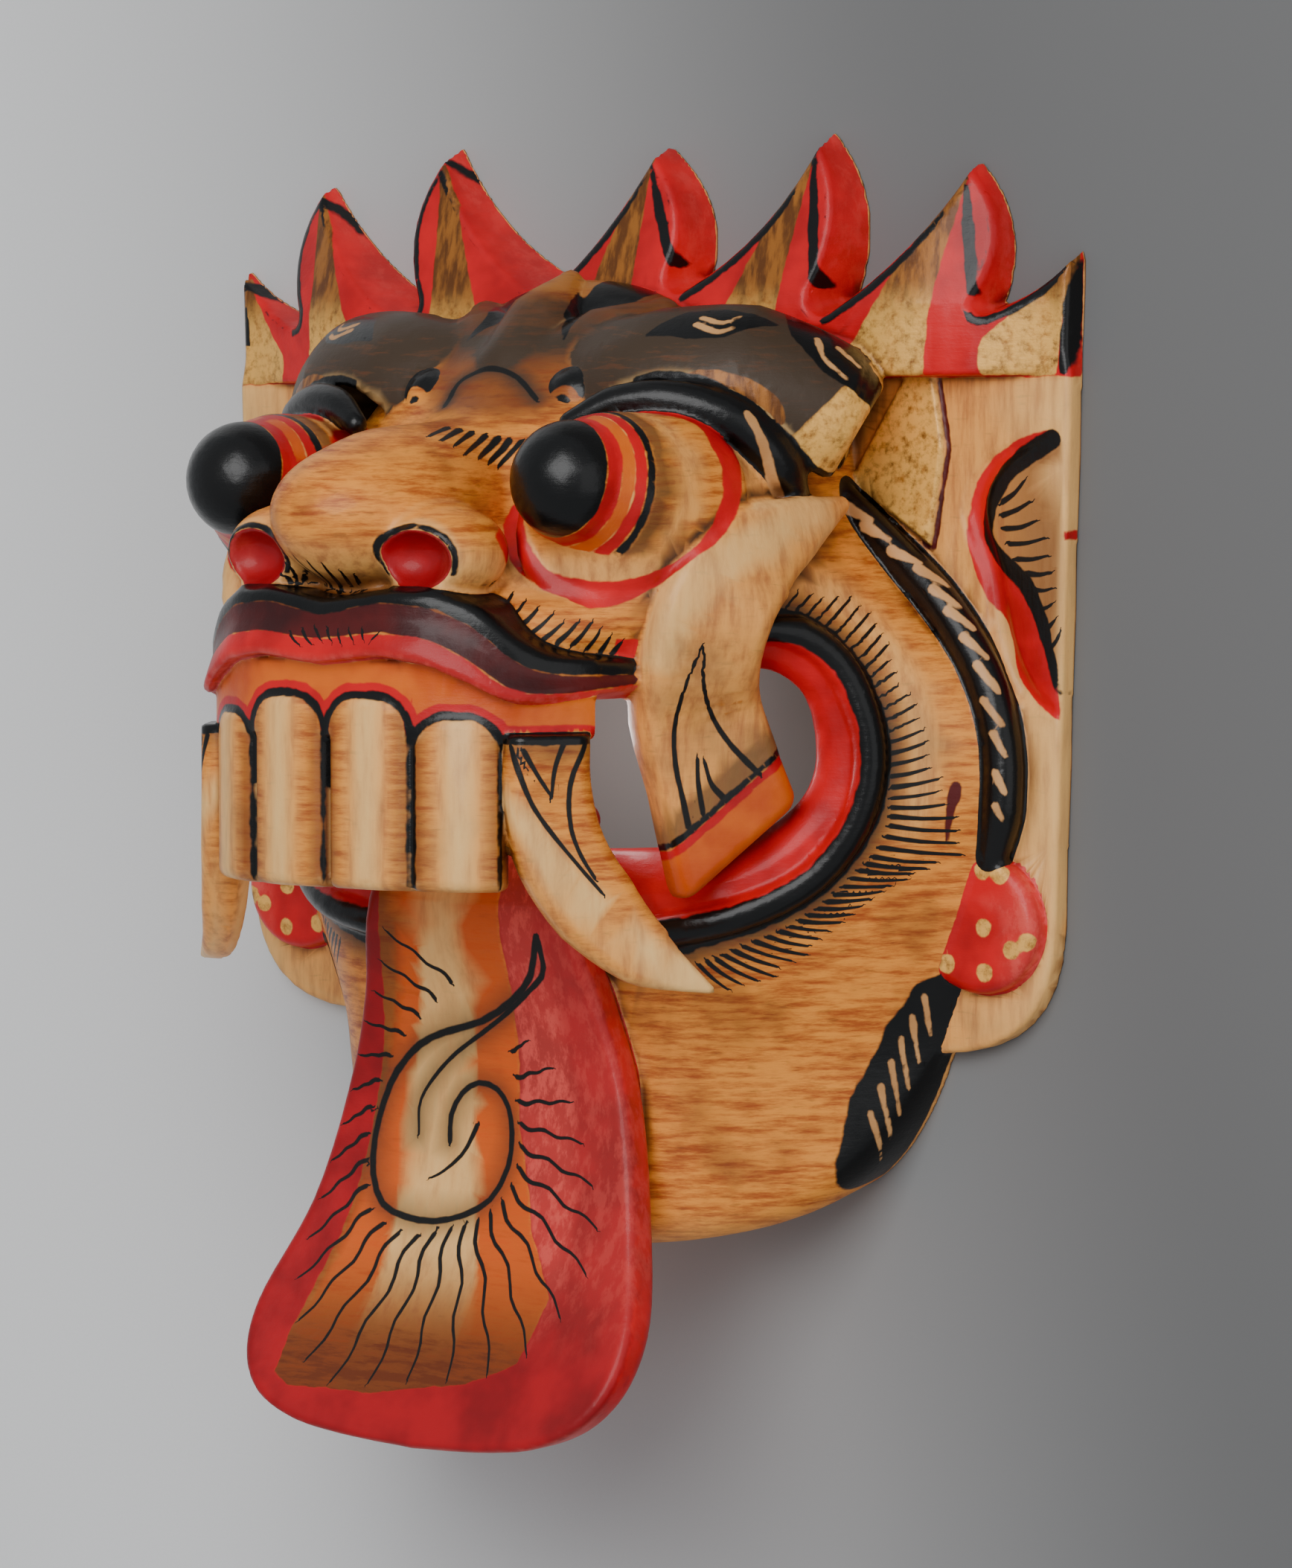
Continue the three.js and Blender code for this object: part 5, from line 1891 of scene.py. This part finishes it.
        # Painted shade: grey along the crease round the knob and at the top of the shade between the brows.
        edge = Path(self.knob_edge, 24).nearest(coat.places)[0]
        top_grey = 0.9 * ramp(p[:, 1], *self.grey_fade) * (1 - ramp(shade, *self.grey_end))
        coat.tint(Wash.GREY, bell(edge, self.knob_soft) + top_grey, -on)
        coat.stroke(self.knob_edge, width=0.7, tip=0.8, steps=16, both=False)
        c = skin(o.curl.near(p))
        r = np.linalg.norm(p - np.asarray(self.curl_eye), axis=1)
        coat.lay(Colour.BLACK, c)
        ring, half = self.curl_ring
        coat.spare(Colour.BLACK, np.abs(r - ring) - half, c)
        coat.fan(self.strand_roots, self.strand_tips, count=7, width=0.8, bend=0.04)


@dataclass
class TonguePaint:
    """Striped tongue with a swirl and wavy rays, its red deeper on faces that look up and pinker on its lower
    rim, as painted shade and highlight.
    """

    tongue: Tongue
    levels: Numbers = (-112, -100, -88, -66, -25)
    bounds: Sequence[Numbers] = (
        (-38, -35, -32, -28.5, -22.8), (-37, -34, -31.5, -28, -18.6), (-23, -21, -20.5, -20.8, -12.5),
        (3, 4, 0, -4, -2), (21, 24, 15, 8, 8), (24, 25, 25, 22, 17))
    border: Points = (
        (-50, -112), (-42, -117), (-34, -121.6), (-13.6, -121.5), (8.7, -118), (21.3, -112.6), (27, -103),
        (50, -60))
    swirl: Points = (
        (17.7, -27.6), (14.2, -35.5), (7.8, -41.3), (-0.8, -46.1), (-10.8, -49), (-17.8, -52.1),
        (-23.6, -57.9), (-26.6, -64.2), (-28.2, -72), (-27.7, -79.5), (-24.3, -85.3), (-18.3, -87.5),
        (-10.7, -87.9), (-3.6, -86.1), (2.5, -82.6), (6.2, -75.6), (6.4, -68.9), (5.1, -63.7), (2, -60.1),
        (-2.9, -59.1), (-7.1, -61.5), (-9.7, -66.2), (-9.5, -71.5))
    stem: Points = (
        (18.1, -28.3), (18, -34.5), (12.1, -39.5), (5.3, -44.5), (-2.3, -49.3), (-9.5, -54), (-15.2, -59.7),
        (-17.8, -64.4), (-17.5, -70.5))
    hook: Points = ((-2.9, -68), (-5.7, -73.5), (-10.8, -78), (-13.4, -79.3))
    ray_roots: Points = (
        (-7.6, -38.3), (-15.5, -44.4), (-23, -51.3), (-28.1, -59.7), (-30.4, -70.6), (-29.2, -81.1),
        (-26.6, -87.4), (-16.5, -91.3), (-6.6, -89.3), (2.7, -85.9), (8.6, -78), (8.7, -66.4), (7.4, -59.7),
        (6.2, -52))
    ray_tips: Points = (
        (-21.5, -28.1), (-26, -39), (-31, -50), (-34, -62), (-37.5, -75.8), (-39.7, -91.5), (-39.5, -102.6),
        (-28.6, -119.5), (-7.4, -118.8), (20.8, -112.3), (33.2, -90.8), (25.1, -68.9), (19.4, -57.6),
        (10.4, -49.6))
    rays: int = 27
    sway: float = 0.05
    ray_shares: Numbers = (0, 0.14, 0.35, 0.6, 0.8, 1)
    ray_sways: Numbers = (0, 0.9, -0.3, 0.5, -0.4, 0)
    low_fade: Point = (-116, -90)
    dark_fade: Point = (-1, 3)
    tip_fade: Point = (0.45, 0.8)
    side_fade: Point = (-1.5, 3)
    rim_top: float = 1.2
    rim_wide: float = 2.2
    halo_wide: float = 3.2

    def on_top(self, points: Points) -> Array:
        """Places on the tongue's upper face.

        Args:
            points: Places in plan.

        Returns:
            Places in space.
        """
        q = np.asarray(points, float)
        line = self.tongue.path.dots
        z = np.interp(q[:, 1], line[::-1, 1], line[::-1, 2])
        return np.column_stack([q, z + self.tongue.half + self.tongue.scoop * q[:, 0] ** 2])

    def apply(self, coat: Coat) -> None:
        """Paints the tongue.

        Args:
            coat: Paint of the mask.
        """
        p = coat.places
        x, y, _ = p.T
        lift, edge = self.tongue.chart(coat.half)
        on = skin(self.tongue.near(coat.half))
        b = [np.interp(y, self.levels, row) for row in self.bounds]
        rim = np.interp(x, [q[0] for q in self.border], [q[1] for q in self.border])
        under = np.minimum(lift - self.rim_top, -edge - self.rim_wide)
        for colour in Colour:
            coat.spare(colour, on)
        red = np.minimum.reduce([x - b[0], b[4] - x, y - rim, under])
        coat.lay(Colour.RED, on, red)
        # Painted shade: the red deepens on faces that look up, while the sides stay plain red.
        coat.lay(Colour.DEEP, on, red, 0.2 - coat.facing[:, 2])
        low = 1 - ramp(y, *self.low_fade)
        coat.tint(Wash.AMBER, 1 - 0.5 * low, on, b[1] - x, x - b[2])
        coat.tint(Wash.AMBER, 1 - 0.4 * low, on, b[3] - x, x - b[4])
        coat.tint(Wash.BROWN, np.maximum(1.05 * low, 0.8 - 0.8 * ramp(x - b[1], *self.dark_fade)), on)
        # Painted highlight: faces that look down towards the tip turn pinker.
        coat.tint(Wash.PINK, 0.45 * ramp(-coat.facing[:, 1], *self.tip_fade), on)
        coat.tint(Wash.CREAM, 0.95 * (1 - low), on, b[2] - x, x - b[3])
        coat.tint(Wash.PINK, (1 - 0.55 * ramp(x - b[5], *self.side_fade)) * (1 - low), on, b[4] - x)
        swirl, stem, hook = (self.on_top(q) for q in (self.swirl, self.stem, self.hook))
        halo = np.minimum(Path(swirl, 44).nearest(p)[0], Path(stem, 20).nearest(p)[0])
        coat.tint(Wash.GREY, 0.7 * bell(halo, self.halo_wide), on)
        coat.stroke(swirl, width=0.85, tip=0.7, steps=44, both=False)
        coat.stroke(stem, width=0.75, tip=0.4, steps=20, both=False, layer=1)
        coat.stroke(hook, width=0.6, both=False)
        roots, tips = (self.on_top(q) for q in spaced_pairs(self.ray_roots, self.ray_tips, self.rays))
        for i, (a, c) in enumerate(zip(roots, tips)):
            side = np.cross(c - a, (0, 0, 1)) * self.sway
            line = [a + (c - a) * t + side * s for t, s in zip(self.ray_shares, self.ray_sways)]
            coat.stroke(line, width=0.55, tip=0.45, steps=12, both=False, layer=i % INK_LAYERS)


@dataclass
class JawPaint:
    """Black sideburns with pale hairs, a drip of red on the cheek and the raw wood of the hollow."""

    carving: Carving
    sideburn: Points = (
        (86, -33), (85, -44), (82, -54), (78, -68), (71, -82), (62, -82), (63.4, -73.4), (66, -60.6),
        (72.1, -46.1), (78, -37))
    hair_roots: Points = ((78.5, -40), (75, -46), (71.5, -55), (68.5, -64))
    hair_tips: Points = ((78, -48), (75, -56), (71.5, -66), (67.5, -74))
    drip: Points = ((88.9, 3.1, 14.9), (88.5, 0.8, 15.1), (87.7, -2.4, 15.2), (86.6, -7.8, 14.6))
    drip_wide: Numbers = (1.2, 1.5, 0.8, 0.2)
    hairs: int = 6
    foot: float = 1.5
    raw_room: float = 0.8
    back_room: float = 0.4

    def apply(self, coat: Coat) -> None:
        """Paints jaw and hollow.

        Args:
            coat: Paint of the mask.
        """
        p, n = coat.half, coat.facing
        head = self.carving.head
        on = np.maximum(skin(head.near(p), 0.6), self.foot - p[:, 2])
        coat.lay(Colour.BLACK, on, outline_distance(np.asarray(self.sideburn, float), p[:, 0], p[:, 1]))
        roots, tips = (np.asarray(q, float) for q in (self.hair_roots, self.hair_tips))
        a = np.column_stack([roots, head.lift(*roots.T)])
        b = np.column_stack([tips, head.lift(*tips.T)])
        for start, end in zip(*spaced_pairs(a, b, self.hairs)):
            coat.dash((start, end), width=0.7, tip=0.5, steps=3)
        coat.lay(Colour.MAROON, on, stripe(self.drip, self.drip_wide, p, n))
        inside = self.carving.hollow(coat.places)
        raw = np.minimum(skin(inside, self.raw_room), skin(coat.places[:, 2], self.back_room))
        for colour in Colour:
            coat.spare(colour, raw)
        coat.lay(Colour.RAW, raw)


def srgb(red: float, green: float, blue: float) -> Rgba:
    """Colour seen on a screen as the colour a shader takes.

    Args:
        red: Red from 0 to 255.
        green: Green from 0 to 255.
        blue: Blue from 0 to 255.

    Returns:
        Linear colour with full cover.
    """
    def line(v: float) -> float:
        """One part of the colour, from 0 to 1."""
        c = v / 255
        return c / 12.92 if c <= 0.04045 else ((c + 0.055) / 1.055) ** 2.4

    return line(red), line(green), line(blue), 1.0


@dataclass(frozen=True)
class Finish:
    """One paint: two shades it varies between, its roughness and its share of metal."""

    light: Rgba
    dark: Rgba
    rough: float
    metal: float = 0.0


FINISHES: dict[Colour, Finish] = {
    Colour.ORANGE: Finish(srgb(236, 112, 20), srgb(206, 78, 11), 0.4),
    Colour.MAROON: Finish(srgb(92, 14, 12), srgb(56, 9, 9), 0.42),
    Colour.RED: Finish(srgb(226, 9, 22), srgb(180, 5, 15), 0.42),
    Colour.DEEP: Finish(srgb(186, 5, 22), srgb(142, 3, 14), 0.48),
    Colour.GOLD: Finish(srgb(166, 102, 36), srgb(104, 58, 18), 0.38, 0.15),
    Colour.BLACK: Finish(srgb(14, 13, 13), srgb(6, 6, 6), 0.28),
    Colour.PALE: Finish(srgb(222, 164, 104), srgb(190, 132, 76), 0.45),
    Colour.RAW: Finish(srgb(150, 100, 60), srgb(104, 66, 36), 0.8),
}


@dataclass(frozen=True)
class Spots:
    """One noise: spots per metre, octaves, weight of the finer ones and, if needed, a stretch by axis."""

    scale: float
    detail: float = 3.0
    rough: float = 0.55
    stretch: Point | None = None


@dataclass
class Weave:
    """Builds the nodes of a material."""

    tree: bpy.types.NodeTree

    def fill(self, node: bpy.types.Node, sockets: dict) -> None:
        """Links or sets the inputs of a node.

        Args:
            node: Node to fill.
            sockets: Value or link for each input.
        """
        for key, value in sockets.items():
            if isinstance(value, Socket):
                self.tree.links.new(value, node.inputs[key])
            else:
                node.inputs[key].default_value = value

    def add(self, kind: str, sockets: dict, out: int | str = 0, **settings: object) -> Socket:
        """Adds a node.

        Args:
            kind: Type of the node.
            sockets: Value or link for each input.
            out: Output wanted.
            settings: Properties of the node.

        Returns:
            The output.
        """
        node = self.tree.nodes.new(kind)
        for key, value in settings.items():
            setattr(node, key, value)
        self.fill(node, sockets)
        return node.outputs[out]

    def dress(self, sockets: dict) -> None:
        """Links or sets the inputs of the surface."""
        self.fill(self.tree.nodes["Principled BSDF"], sockets)

    def read(self, name: str) -> Socket:
        """Value stored on the mesh under the given name."""
        return self.add("ShaderNodeAttribute", {}, "Fac", attribute_name=name)

    def calc(self, how: str, a: object, b: object = 0.0, clamp: bool = False) -> Socket:
        """Result of a sum on two values, held between 0 and 1 if clamp is set."""
        return self.add("ShaderNodeMath", {0: a, 1: b}, operation=how, use_clamp=clamp)

    def times(self, a: object, b: object, clamp: bool = False) -> Socket:
        """Product of two values, held between 0 and 1 if clamp is set."""
        return self.calc("MULTIPLY", a, b, clamp)

    def plus(self, a: object, b: object) -> Socket:
        """Sum of two values."""
        return self.calc("ADD", a, b)

    def step(self, value: object, low: float, high: float) -> Socket:
        """Smooth step from 0 at low to 1 at high, falling if low lies over high."""
        return self.add("ShaderNodeMapRange", {0: value, 1: low, 2: high}, interpolation_type="SMOOTHSTEP")

    def mix(self, share: object, a: object, b: object, how: str = "MIX") -> Socket:
        """Mix of two colours, the share being that of the second."""
        return self.add("ShaderNodeMix", {0: share, 6: a, 7: b}, 2, data_type="RGBA", blend_type=how)

    def blend(self, share: object, a: object, b: object) -> Socket:
        """Mix of two values, the share being that of the second."""
        return self.add("ShaderNodeMix", {0: share, 2: a, 3: b})

    def noise(self, where: object, spots: Spots) -> Socket:
        """Soft noise.

        Args:
            where: Coordinates.
            spots: Size and kind of its spots.

        Returns:
            A value about 0.5.
        """
        if spots.stretch:
            where = self.add("ShaderNodeMapping", {"Vector": where, "Scale": spots.stretch})
        sizes = {"Scale": spots.scale, "Detail": spots.detail, "Roughness": spots.rough}
        return self.add("ShaderNodeTexNoise", {"Vector": where, **sizes})


@dataclass
class PaintedWood:
    """The one material of the mask: varnished wood, washes, paints and strokes in layers, with painted shade
    in hollows and edges paler, partly as painted highlight.
    """

    name: str = "painted wood"
    light_wood: Rgba = srgb(252, 158, 58)
    dark_wood: Rgba = srgb(178, 80, 18)
    streak: Rgba = srgb(84, 32, 5)
    cream: Rgba = srgb(255, 202, 126)
    brown: Rgba = srgb(110, 46, 9)
    grey: Rgba = srgb(66, 50, 35)
    amber: Rgba = srgb(228, 91, 10)
    pink: Rgba = srgb(240, 91, 80)
    leaf: Rgba = srgb(255, 192, 96)
    ink: Rgba = srgb(12, 10, 8)
    # Tone multiplied into hollows and creases: painted shade.
    hollow_shade: Rgba = (0.2, 0.11, 0.06, 1)
    flat_grain: Spots = Spots(560, 5, 0.7, (0.14, 1, 0.14))
    tall_grain: Spots = Spots(420, 4, 0.6, (1, 0.16, 1))
    flecks: Spots = Spots(900, 3, 0.55, (0.2, 1, 0.2))
    clouds: Spots = Spots(60)
    crinkles: Spots = Spots(500, 4, 0.65)
    wavers: Spots = Spots(260, 2)
    pink_mottle: Spots = Spots(330, 4, 0.7, (1, 0.5, 1))
    fleck_share: float = 0.35
    cloud_share: float = 0.48
    ridge_share: float = 0.4
    hollow_shade_share: float = 0.85
    waver: float = 1.1
    edge_soft: float = 0.22
    line_reach: float = 1.1
    line_fade: float = 0.2
    bump: float = 0.3
    bump_deep: float = 0.0006
    specular: float = 0.32
    varnish: float = 0.12
    varnish_rough: float = 0.12

    def wood(self, w: Weave, where: Socket, grain: Socket, cloud: Socket) -> Socket:
        """Colour of the varnished wood with its washes, paler on ridges.

        Args:
            w: Nodes of the material.
            where: Coordinates.
            grain: Noise of the grain.
            cloud: Noise of large soft patches.

        Returns:
            The colour.
        """
        colour = w.mix(w.step(grain, 0.3, 0.62), self.dark_wood, self.light_wood)
        fleck = w.step(w.noise(where, self.flecks), 0.6, 0.74)
        colour = w.mix(w.times(fleck, self.fleck_share), colour, self.streak)
        colour = w.mix(w.times(w.step(cloud, 0.47, 0.73), self.cloud_share), colour, self.brown)
        soft = w.plus(w.times(grain, 0.9), 0.45)
        tones = {
            Wash.AMBER: self.amber, Wash.CREAM: self.cream, Wash.BROWN: self.brown, Wash.GREY: self.grey}
        for wash, tone in tones.items():
            colour = w.mix(w.times(w.read(wash.value), soft, True), colour, tone)
        # Paler on ridges and edges: partly worn varnish, partly a painted highlight.
        return w.mix(w.times(w.step(w.read("ridge"), 0.1, 0.6), self.ridge_share), colour, self.cream)

    def rosy(self, w: Weave, where: Socket) -> Socket:
        """Share of pink over the red paints: the pink wash, partly painted highlight and partly pinker paint,
        mottled by noise.
        """
        mottled = w.step(w.noise(where, self.pink_mottle), 0.44, 0.62)
        return w.times(w.read(Wash.PINK.value), w.plus(w.times(mottled, 0.5), 0.35), True)

    def lines(self, w: Weave, colour: Socket, wobble: Socket) -> Socket:
        """Draws the ink over a colour.

        Args:
            w: Nodes of the material.
            colour: Colour below.
            wobble: Noise that makes edges uneven.

        Returns:
            The colour with the strokes on it.
        """
        for i in range(INK_LAYERS):
            side = w.plus(w.calc("ABSOLUTE", w.read(f"ink_side_{i}")), w.times(wobble, 0.5))
            near = w.step(w.read(f"ink_far_{i}"), self.line_reach + self.line_fade, self.line_reach)
            colour = w.mix(w.times(w.step(side, 1.25, 0.75), near), colour, self.ink)
        return colour

    def make(self) -> bpy.types.Material:
        """Builds the material.

        Returns:
            The material.
        """
        made = bpy.data.materials.new(self.name)
        made.use_nodes = True
        w = Weave(made.node_tree)
        where = w.add("ShaderNodeTexCoord", {}, "Object")
        tall = w.noise(where, self.tall_grain)
        upright = w.step(w.read(Wash.CREAM.value), 0.05, 0.4)
        grain = w.blend(upright, w.noise(where, self.flat_grain), tall)
        cloud = w.noise(where, self.clouds)
        crinkle = w.noise(where, self.crinkles)
        wobble = w.times(w.calc("SUBTRACT", w.noise(where, self.wavers), 0.5), self.waver)
        rosy = self.rosy(w, where)
        shine = w.times(w.read(Wash.LEAF.value), w.step(crinkle, 0.2, 0.6), True)
        colour = self.wood(w, where, grain, cloud)
        rough: Socket | float = w.plus(w.times(cloud, 0.2), 0.38)
        metal: Socket | float = 0.0
        for paint, finish in FINISHES.items():
            cover = w.step(w.plus(w.read(paint.value), wobble), self.edge_soft, -self.edge_soft)
            tone = w.mix(w.step(cloud, 0.35, 0.68), finish.light, finish.dark)
            if paint in (Colour.RED, Colour.DEEP):
                tone = w.mix(rosy, tone, self.pink)
            if paint is Colour.GOLD:
                tone = w.mix(shine, w.mix(w.step(tall, 0.38, 0.62), finish.dark, finish.light), self.leaf)
            colour = w.mix(cover, colour, tone)
            rough = w.blend(cover, rough, finish.rough)
            metal = w.blend(cover, metal, finish.metal)
        colour = self.lines(w, colour, wobble)
        # Painted shade: hollows and creases are darkened by their stored hollowness.
        shade_in_hollows = w.times(w.step(w.read("hollowness"), 0.3, 1.0), self.hollow_shade_share)
        height = w.plus(w.times(grain, 0.5), w.times(crinkle, 0.5))
        w.dress({
            "Base Color": w.mix(shade_in_hollows, colour, self.hollow_shade, "MULTIPLY"), "Roughness": rough, "Metallic": metal,
            "Normal": w.add(
                "ShaderNodeBump", {"Strength": self.bump, "Distance": self.bump_deep, "Height": height}),
            "Specular IOR Level": self.specular, "Coat Weight": self.varnish,
            "Coat Roughness": self.varnish_rough})
        return made


@dataclass(frozen=True)
class Lamp:
    """An area lamp by the camera's axes: metres to its right, up and towards it, size in metres and watts."""

    name: str
    side: float
    rise: float
    front: float
    size: float
    power: float


@dataclass
class Stage:
    """The grey wall the mask lies against, its lamps and the camera."""

    half: float = 3.0
    bright: Rgba = (0.95, 0.94, 0.93, 1)
    dim: Rgba = (0.16, 0.159, 0.158, 1)
    slant: float = 0.28
    bright_to: float = -0.24
    dim_from: float = 0.13
    mottle: Spots = Spots(1400, 2)
    mottle_share: float = 0.06
    wall_rough: float = 0.9
    azimuth: float = 37.0
    elevation: float = 3.33
    distance: float = 1.184
    target: Point = (0, -0.002, 0)
    sensor: float = 36.0
    focal_pixels: float = 7500.0
    photo_tall: float = 2107.0
    lamps: Sequence[Lamp] = (Lamp("key", -0.35, 0.5, 1.2, 0.9, 12), Lamp("fill", 1.0, 0.1, 1.1, 1.4, 3.4))
    glow_at: Point = (0.006, 0.012, 0.045)
    glow_size: float = 0.01
    glow_power: float = 0.042
    sky: Rgba = (0.9, 0.95, 1, 1)
    sky_power: float = 0.46

    def axes(self) -> tuple[Vector, Vector, Vector]:
        """Directions of the camera.

        Returns:
            Right, up and back of the camera.
        """
        a, e = math.radians(self.azimuth), math.radians(self.elevation)
        back = Vector((math.sin(a) * math.cos(e), math.sin(e), math.cos(a) * math.cos(e)))
        right = Vector((math.cos(a), 0, -math.sin(a)))
        return right, back.cross(right), back

    def camera(self) -> None:
        """Makes the camera of the photograph."""
        right, up, back = self.axes()
        lens = bpy.data.cameras.new("camera")
        lens.lens = self.sensor * self.focal_pixels / self.photo_tall
        lens.sensor_width = self.sensor
        made = hang("camera", lens)
        turn = Matrix((right, up, back)).transposed().to_4x4()
        made.matrix_world = Matrix.Translation(Vector(self.target) + back * self.distance) @ turn
        bpy.context.scene.camera = made

    def finish(self) -> bpy.types.Material:
        """Paint of the wall, running from light to dark on a slant: a painted falloff of light across it.

        Returns:
            The material.
        """
        made = bpy.data.materials.new("wall")
        made.use_nodes = True
        w = Weave(made.node_tree)
        where = w.add("ShaderNodeTexCoord", {}, "Object")
        side = w.add("ShaderNodeSeparateXYZ", {0: where}, "X")
        rise = w.add("ShaderNodeSeparateXYZ", {0: where}, "Y")
        slant = w.plus(side, w.times(rise, self.slant))
        # Painted light: the wall's colour runs from bright to dim across it.
        tone = w.mix(w.step(slant, self.bright_to, self.dim_from), self.bright, self.dim)
        cast = w.mix(w.noise(where, self.mottle), tone, self.dim)
        w.dress({"Base Color": w.mix(self.mottle_share, tone, cast), "Roughness": self.wall_rough})
        return made

    def wall(self) -> bpy.types.Object:
        """Makes the grey wall under the mask.

        Returns:
            The wall.
        """
        h = self.half
        mesh = bpy.data.meshes.new("wall")
        mesh.from_pydata([(-h, -h, 0), (h, -h, 0), (h, h, 0), (-h, h, 0)], [], [(0, 1, 2, 3)])
        mesh.materials.append(self.finish())
        made = hang("wall", mesh)
        return made

    def area(self, lamp: Lamp) -> None:
        """Hangs an area lamp that faces the mask.

        Args:
            lamp: Its place, size and power.
        """
        right, up, back = self.axes()
        light = bpy.data.lights.new(lamp.name, "AREA")
        light.size = lamp.size
        light.energy = lamp.power
        at = right * lamp.side + up * lamp.rise + back * lamp.front
        made = hang(lamp.name, light)
        made.location = at
        made.rotation_euler = at.to_track_quat("Z", "Y").to_euler()

    def glow(self) -> None:
        """Lights the wall behind the open mouth from within the hollow."""
        light = bpy.data.lights.new("glow", "POINT")
        light.shadow_soft_size = self.glow_size
        light.energy = self.glow_power
        made = hang("glow", light)
        made.location = self.glow_at
        made.visible_camera = False

    def light(self) -> None:
        """Hangs the lamps and sets the sky."""
        for lamp in self.lamps:
            self.area(lamp)
        self.glow()
        sky = bpy.data.worlds.new("sky")
        sky.use_nodes = True
        colour, power = sky.node_tree.nodes["Background"].inputs[:2]
        colour.default_value = self.sky
        power.default_value = self.sky_power
        bpy.context.scene.world = sky


@dataclass
class Mask:
    """The whole mask: its carving, its paint and its material."""

    name: str = "carved_mask"
    shift: float = -2.0
    feel: float = 2.5
    sharp: float = 70.0
    carving: Carving = field(default_factory=Carving)

    def coat(self, places: Array, normals: Array) -> Coat:
        """Paints every part.

        Args:
            places: Places on the surface.
            normals: Normals there.

        Returns:
            The paint.
        """
        c = self.carving
        coat = Coat(places, normals)
        standing = [f.near(coat.half) for f in (c.lip, c.gum, c.tongue, *c.teeth)]
        others = np.min([*standing, c.down_tusk(coat.half), *c.cheek(coat.half)], axis=0)
        CrownPaint(c.plate).apply(coat)
        PlatePaint(c.plate).apply(coat)
        BandPaint(c.band, c.earring).apply(coat)
        MouthPaint(c.mouth).apply(coat, others)
        LipPaint(c.lip, c.gum, c.teeth).apply(coat)
        TuskPaint(c).apply(coat)
        EyePaint(c.eye, c.nose).apply(coat)
        BrowPaint(c.brow, c.ornament).apply(coat)
        TonguePaint(c.tongue).apply(coat)
        JawPaint(c).apply(coat)
        return coat

    def build(self) -> bpy.types.Object:
        """Meshes, paints and places the mask.

        Returns:
            The mask.
        """
        mesher = Mesher()
        made = mesher.build(self.name, self.carving.distance, lambda p, n: self.coat(p, n).keen())
        mesh = made.data
        p = np.empty(3 * len(mesh.vertices))
        n = np.empty_like(p)
        mesh.vertices.foreach_get("co", p)
        mesh.vertex_normals.foreach_get("vector", n)
        p, n = p.reshape(-1, 3), n.reshape(-1, 3)
        self.coat(p, n).store(mesh)
        # Hollowness drives the painted shade in hollows; ridge makes edges paler, partly wear and partly
        # painted highlight.
        room = mesher.spread(self.carving.distance, p + self.feel * n) / self.feel
        depth = mesher.spread(self.carving.distance, p - self.feel * n) / self.feel
        for title, values in (("hollowness", 1.0 - room), ("ridge", 1.0 + depth)):
            store(mesh, title, np.clip(values, 0, 1))
        mesh.polygons.foreach_set("use_smooth", np.ones(len(mesh.polygons), bool))
        mesh.set_sharp_from_angle(angle=math.radians(self.sharp))
        mesh.transform(Matrix.Scale(MM, 4) @ Matrix.Translation((0, self.shift, 0)))
        mesh.materials.append(PaintedWood().make())
        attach(made, "root")
        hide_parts("mask")
        return made


def main() -> None:
    """Builds the mask, dresses it and sets the stage."""
    logging.basicConfig(level=logging.INFO, format="%(message)s")
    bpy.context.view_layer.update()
    mask = Mask().build()
    LOG.info("%s: %d triangles", mask.name, len(mask.data.polygons))
    stage = Stage()
    LOG.info("%s: %.1f m wide", stage.wall().name, 2 * stage.half)
    stage.light()
    stage.camera()


if __name__ == "__main__":
    main()
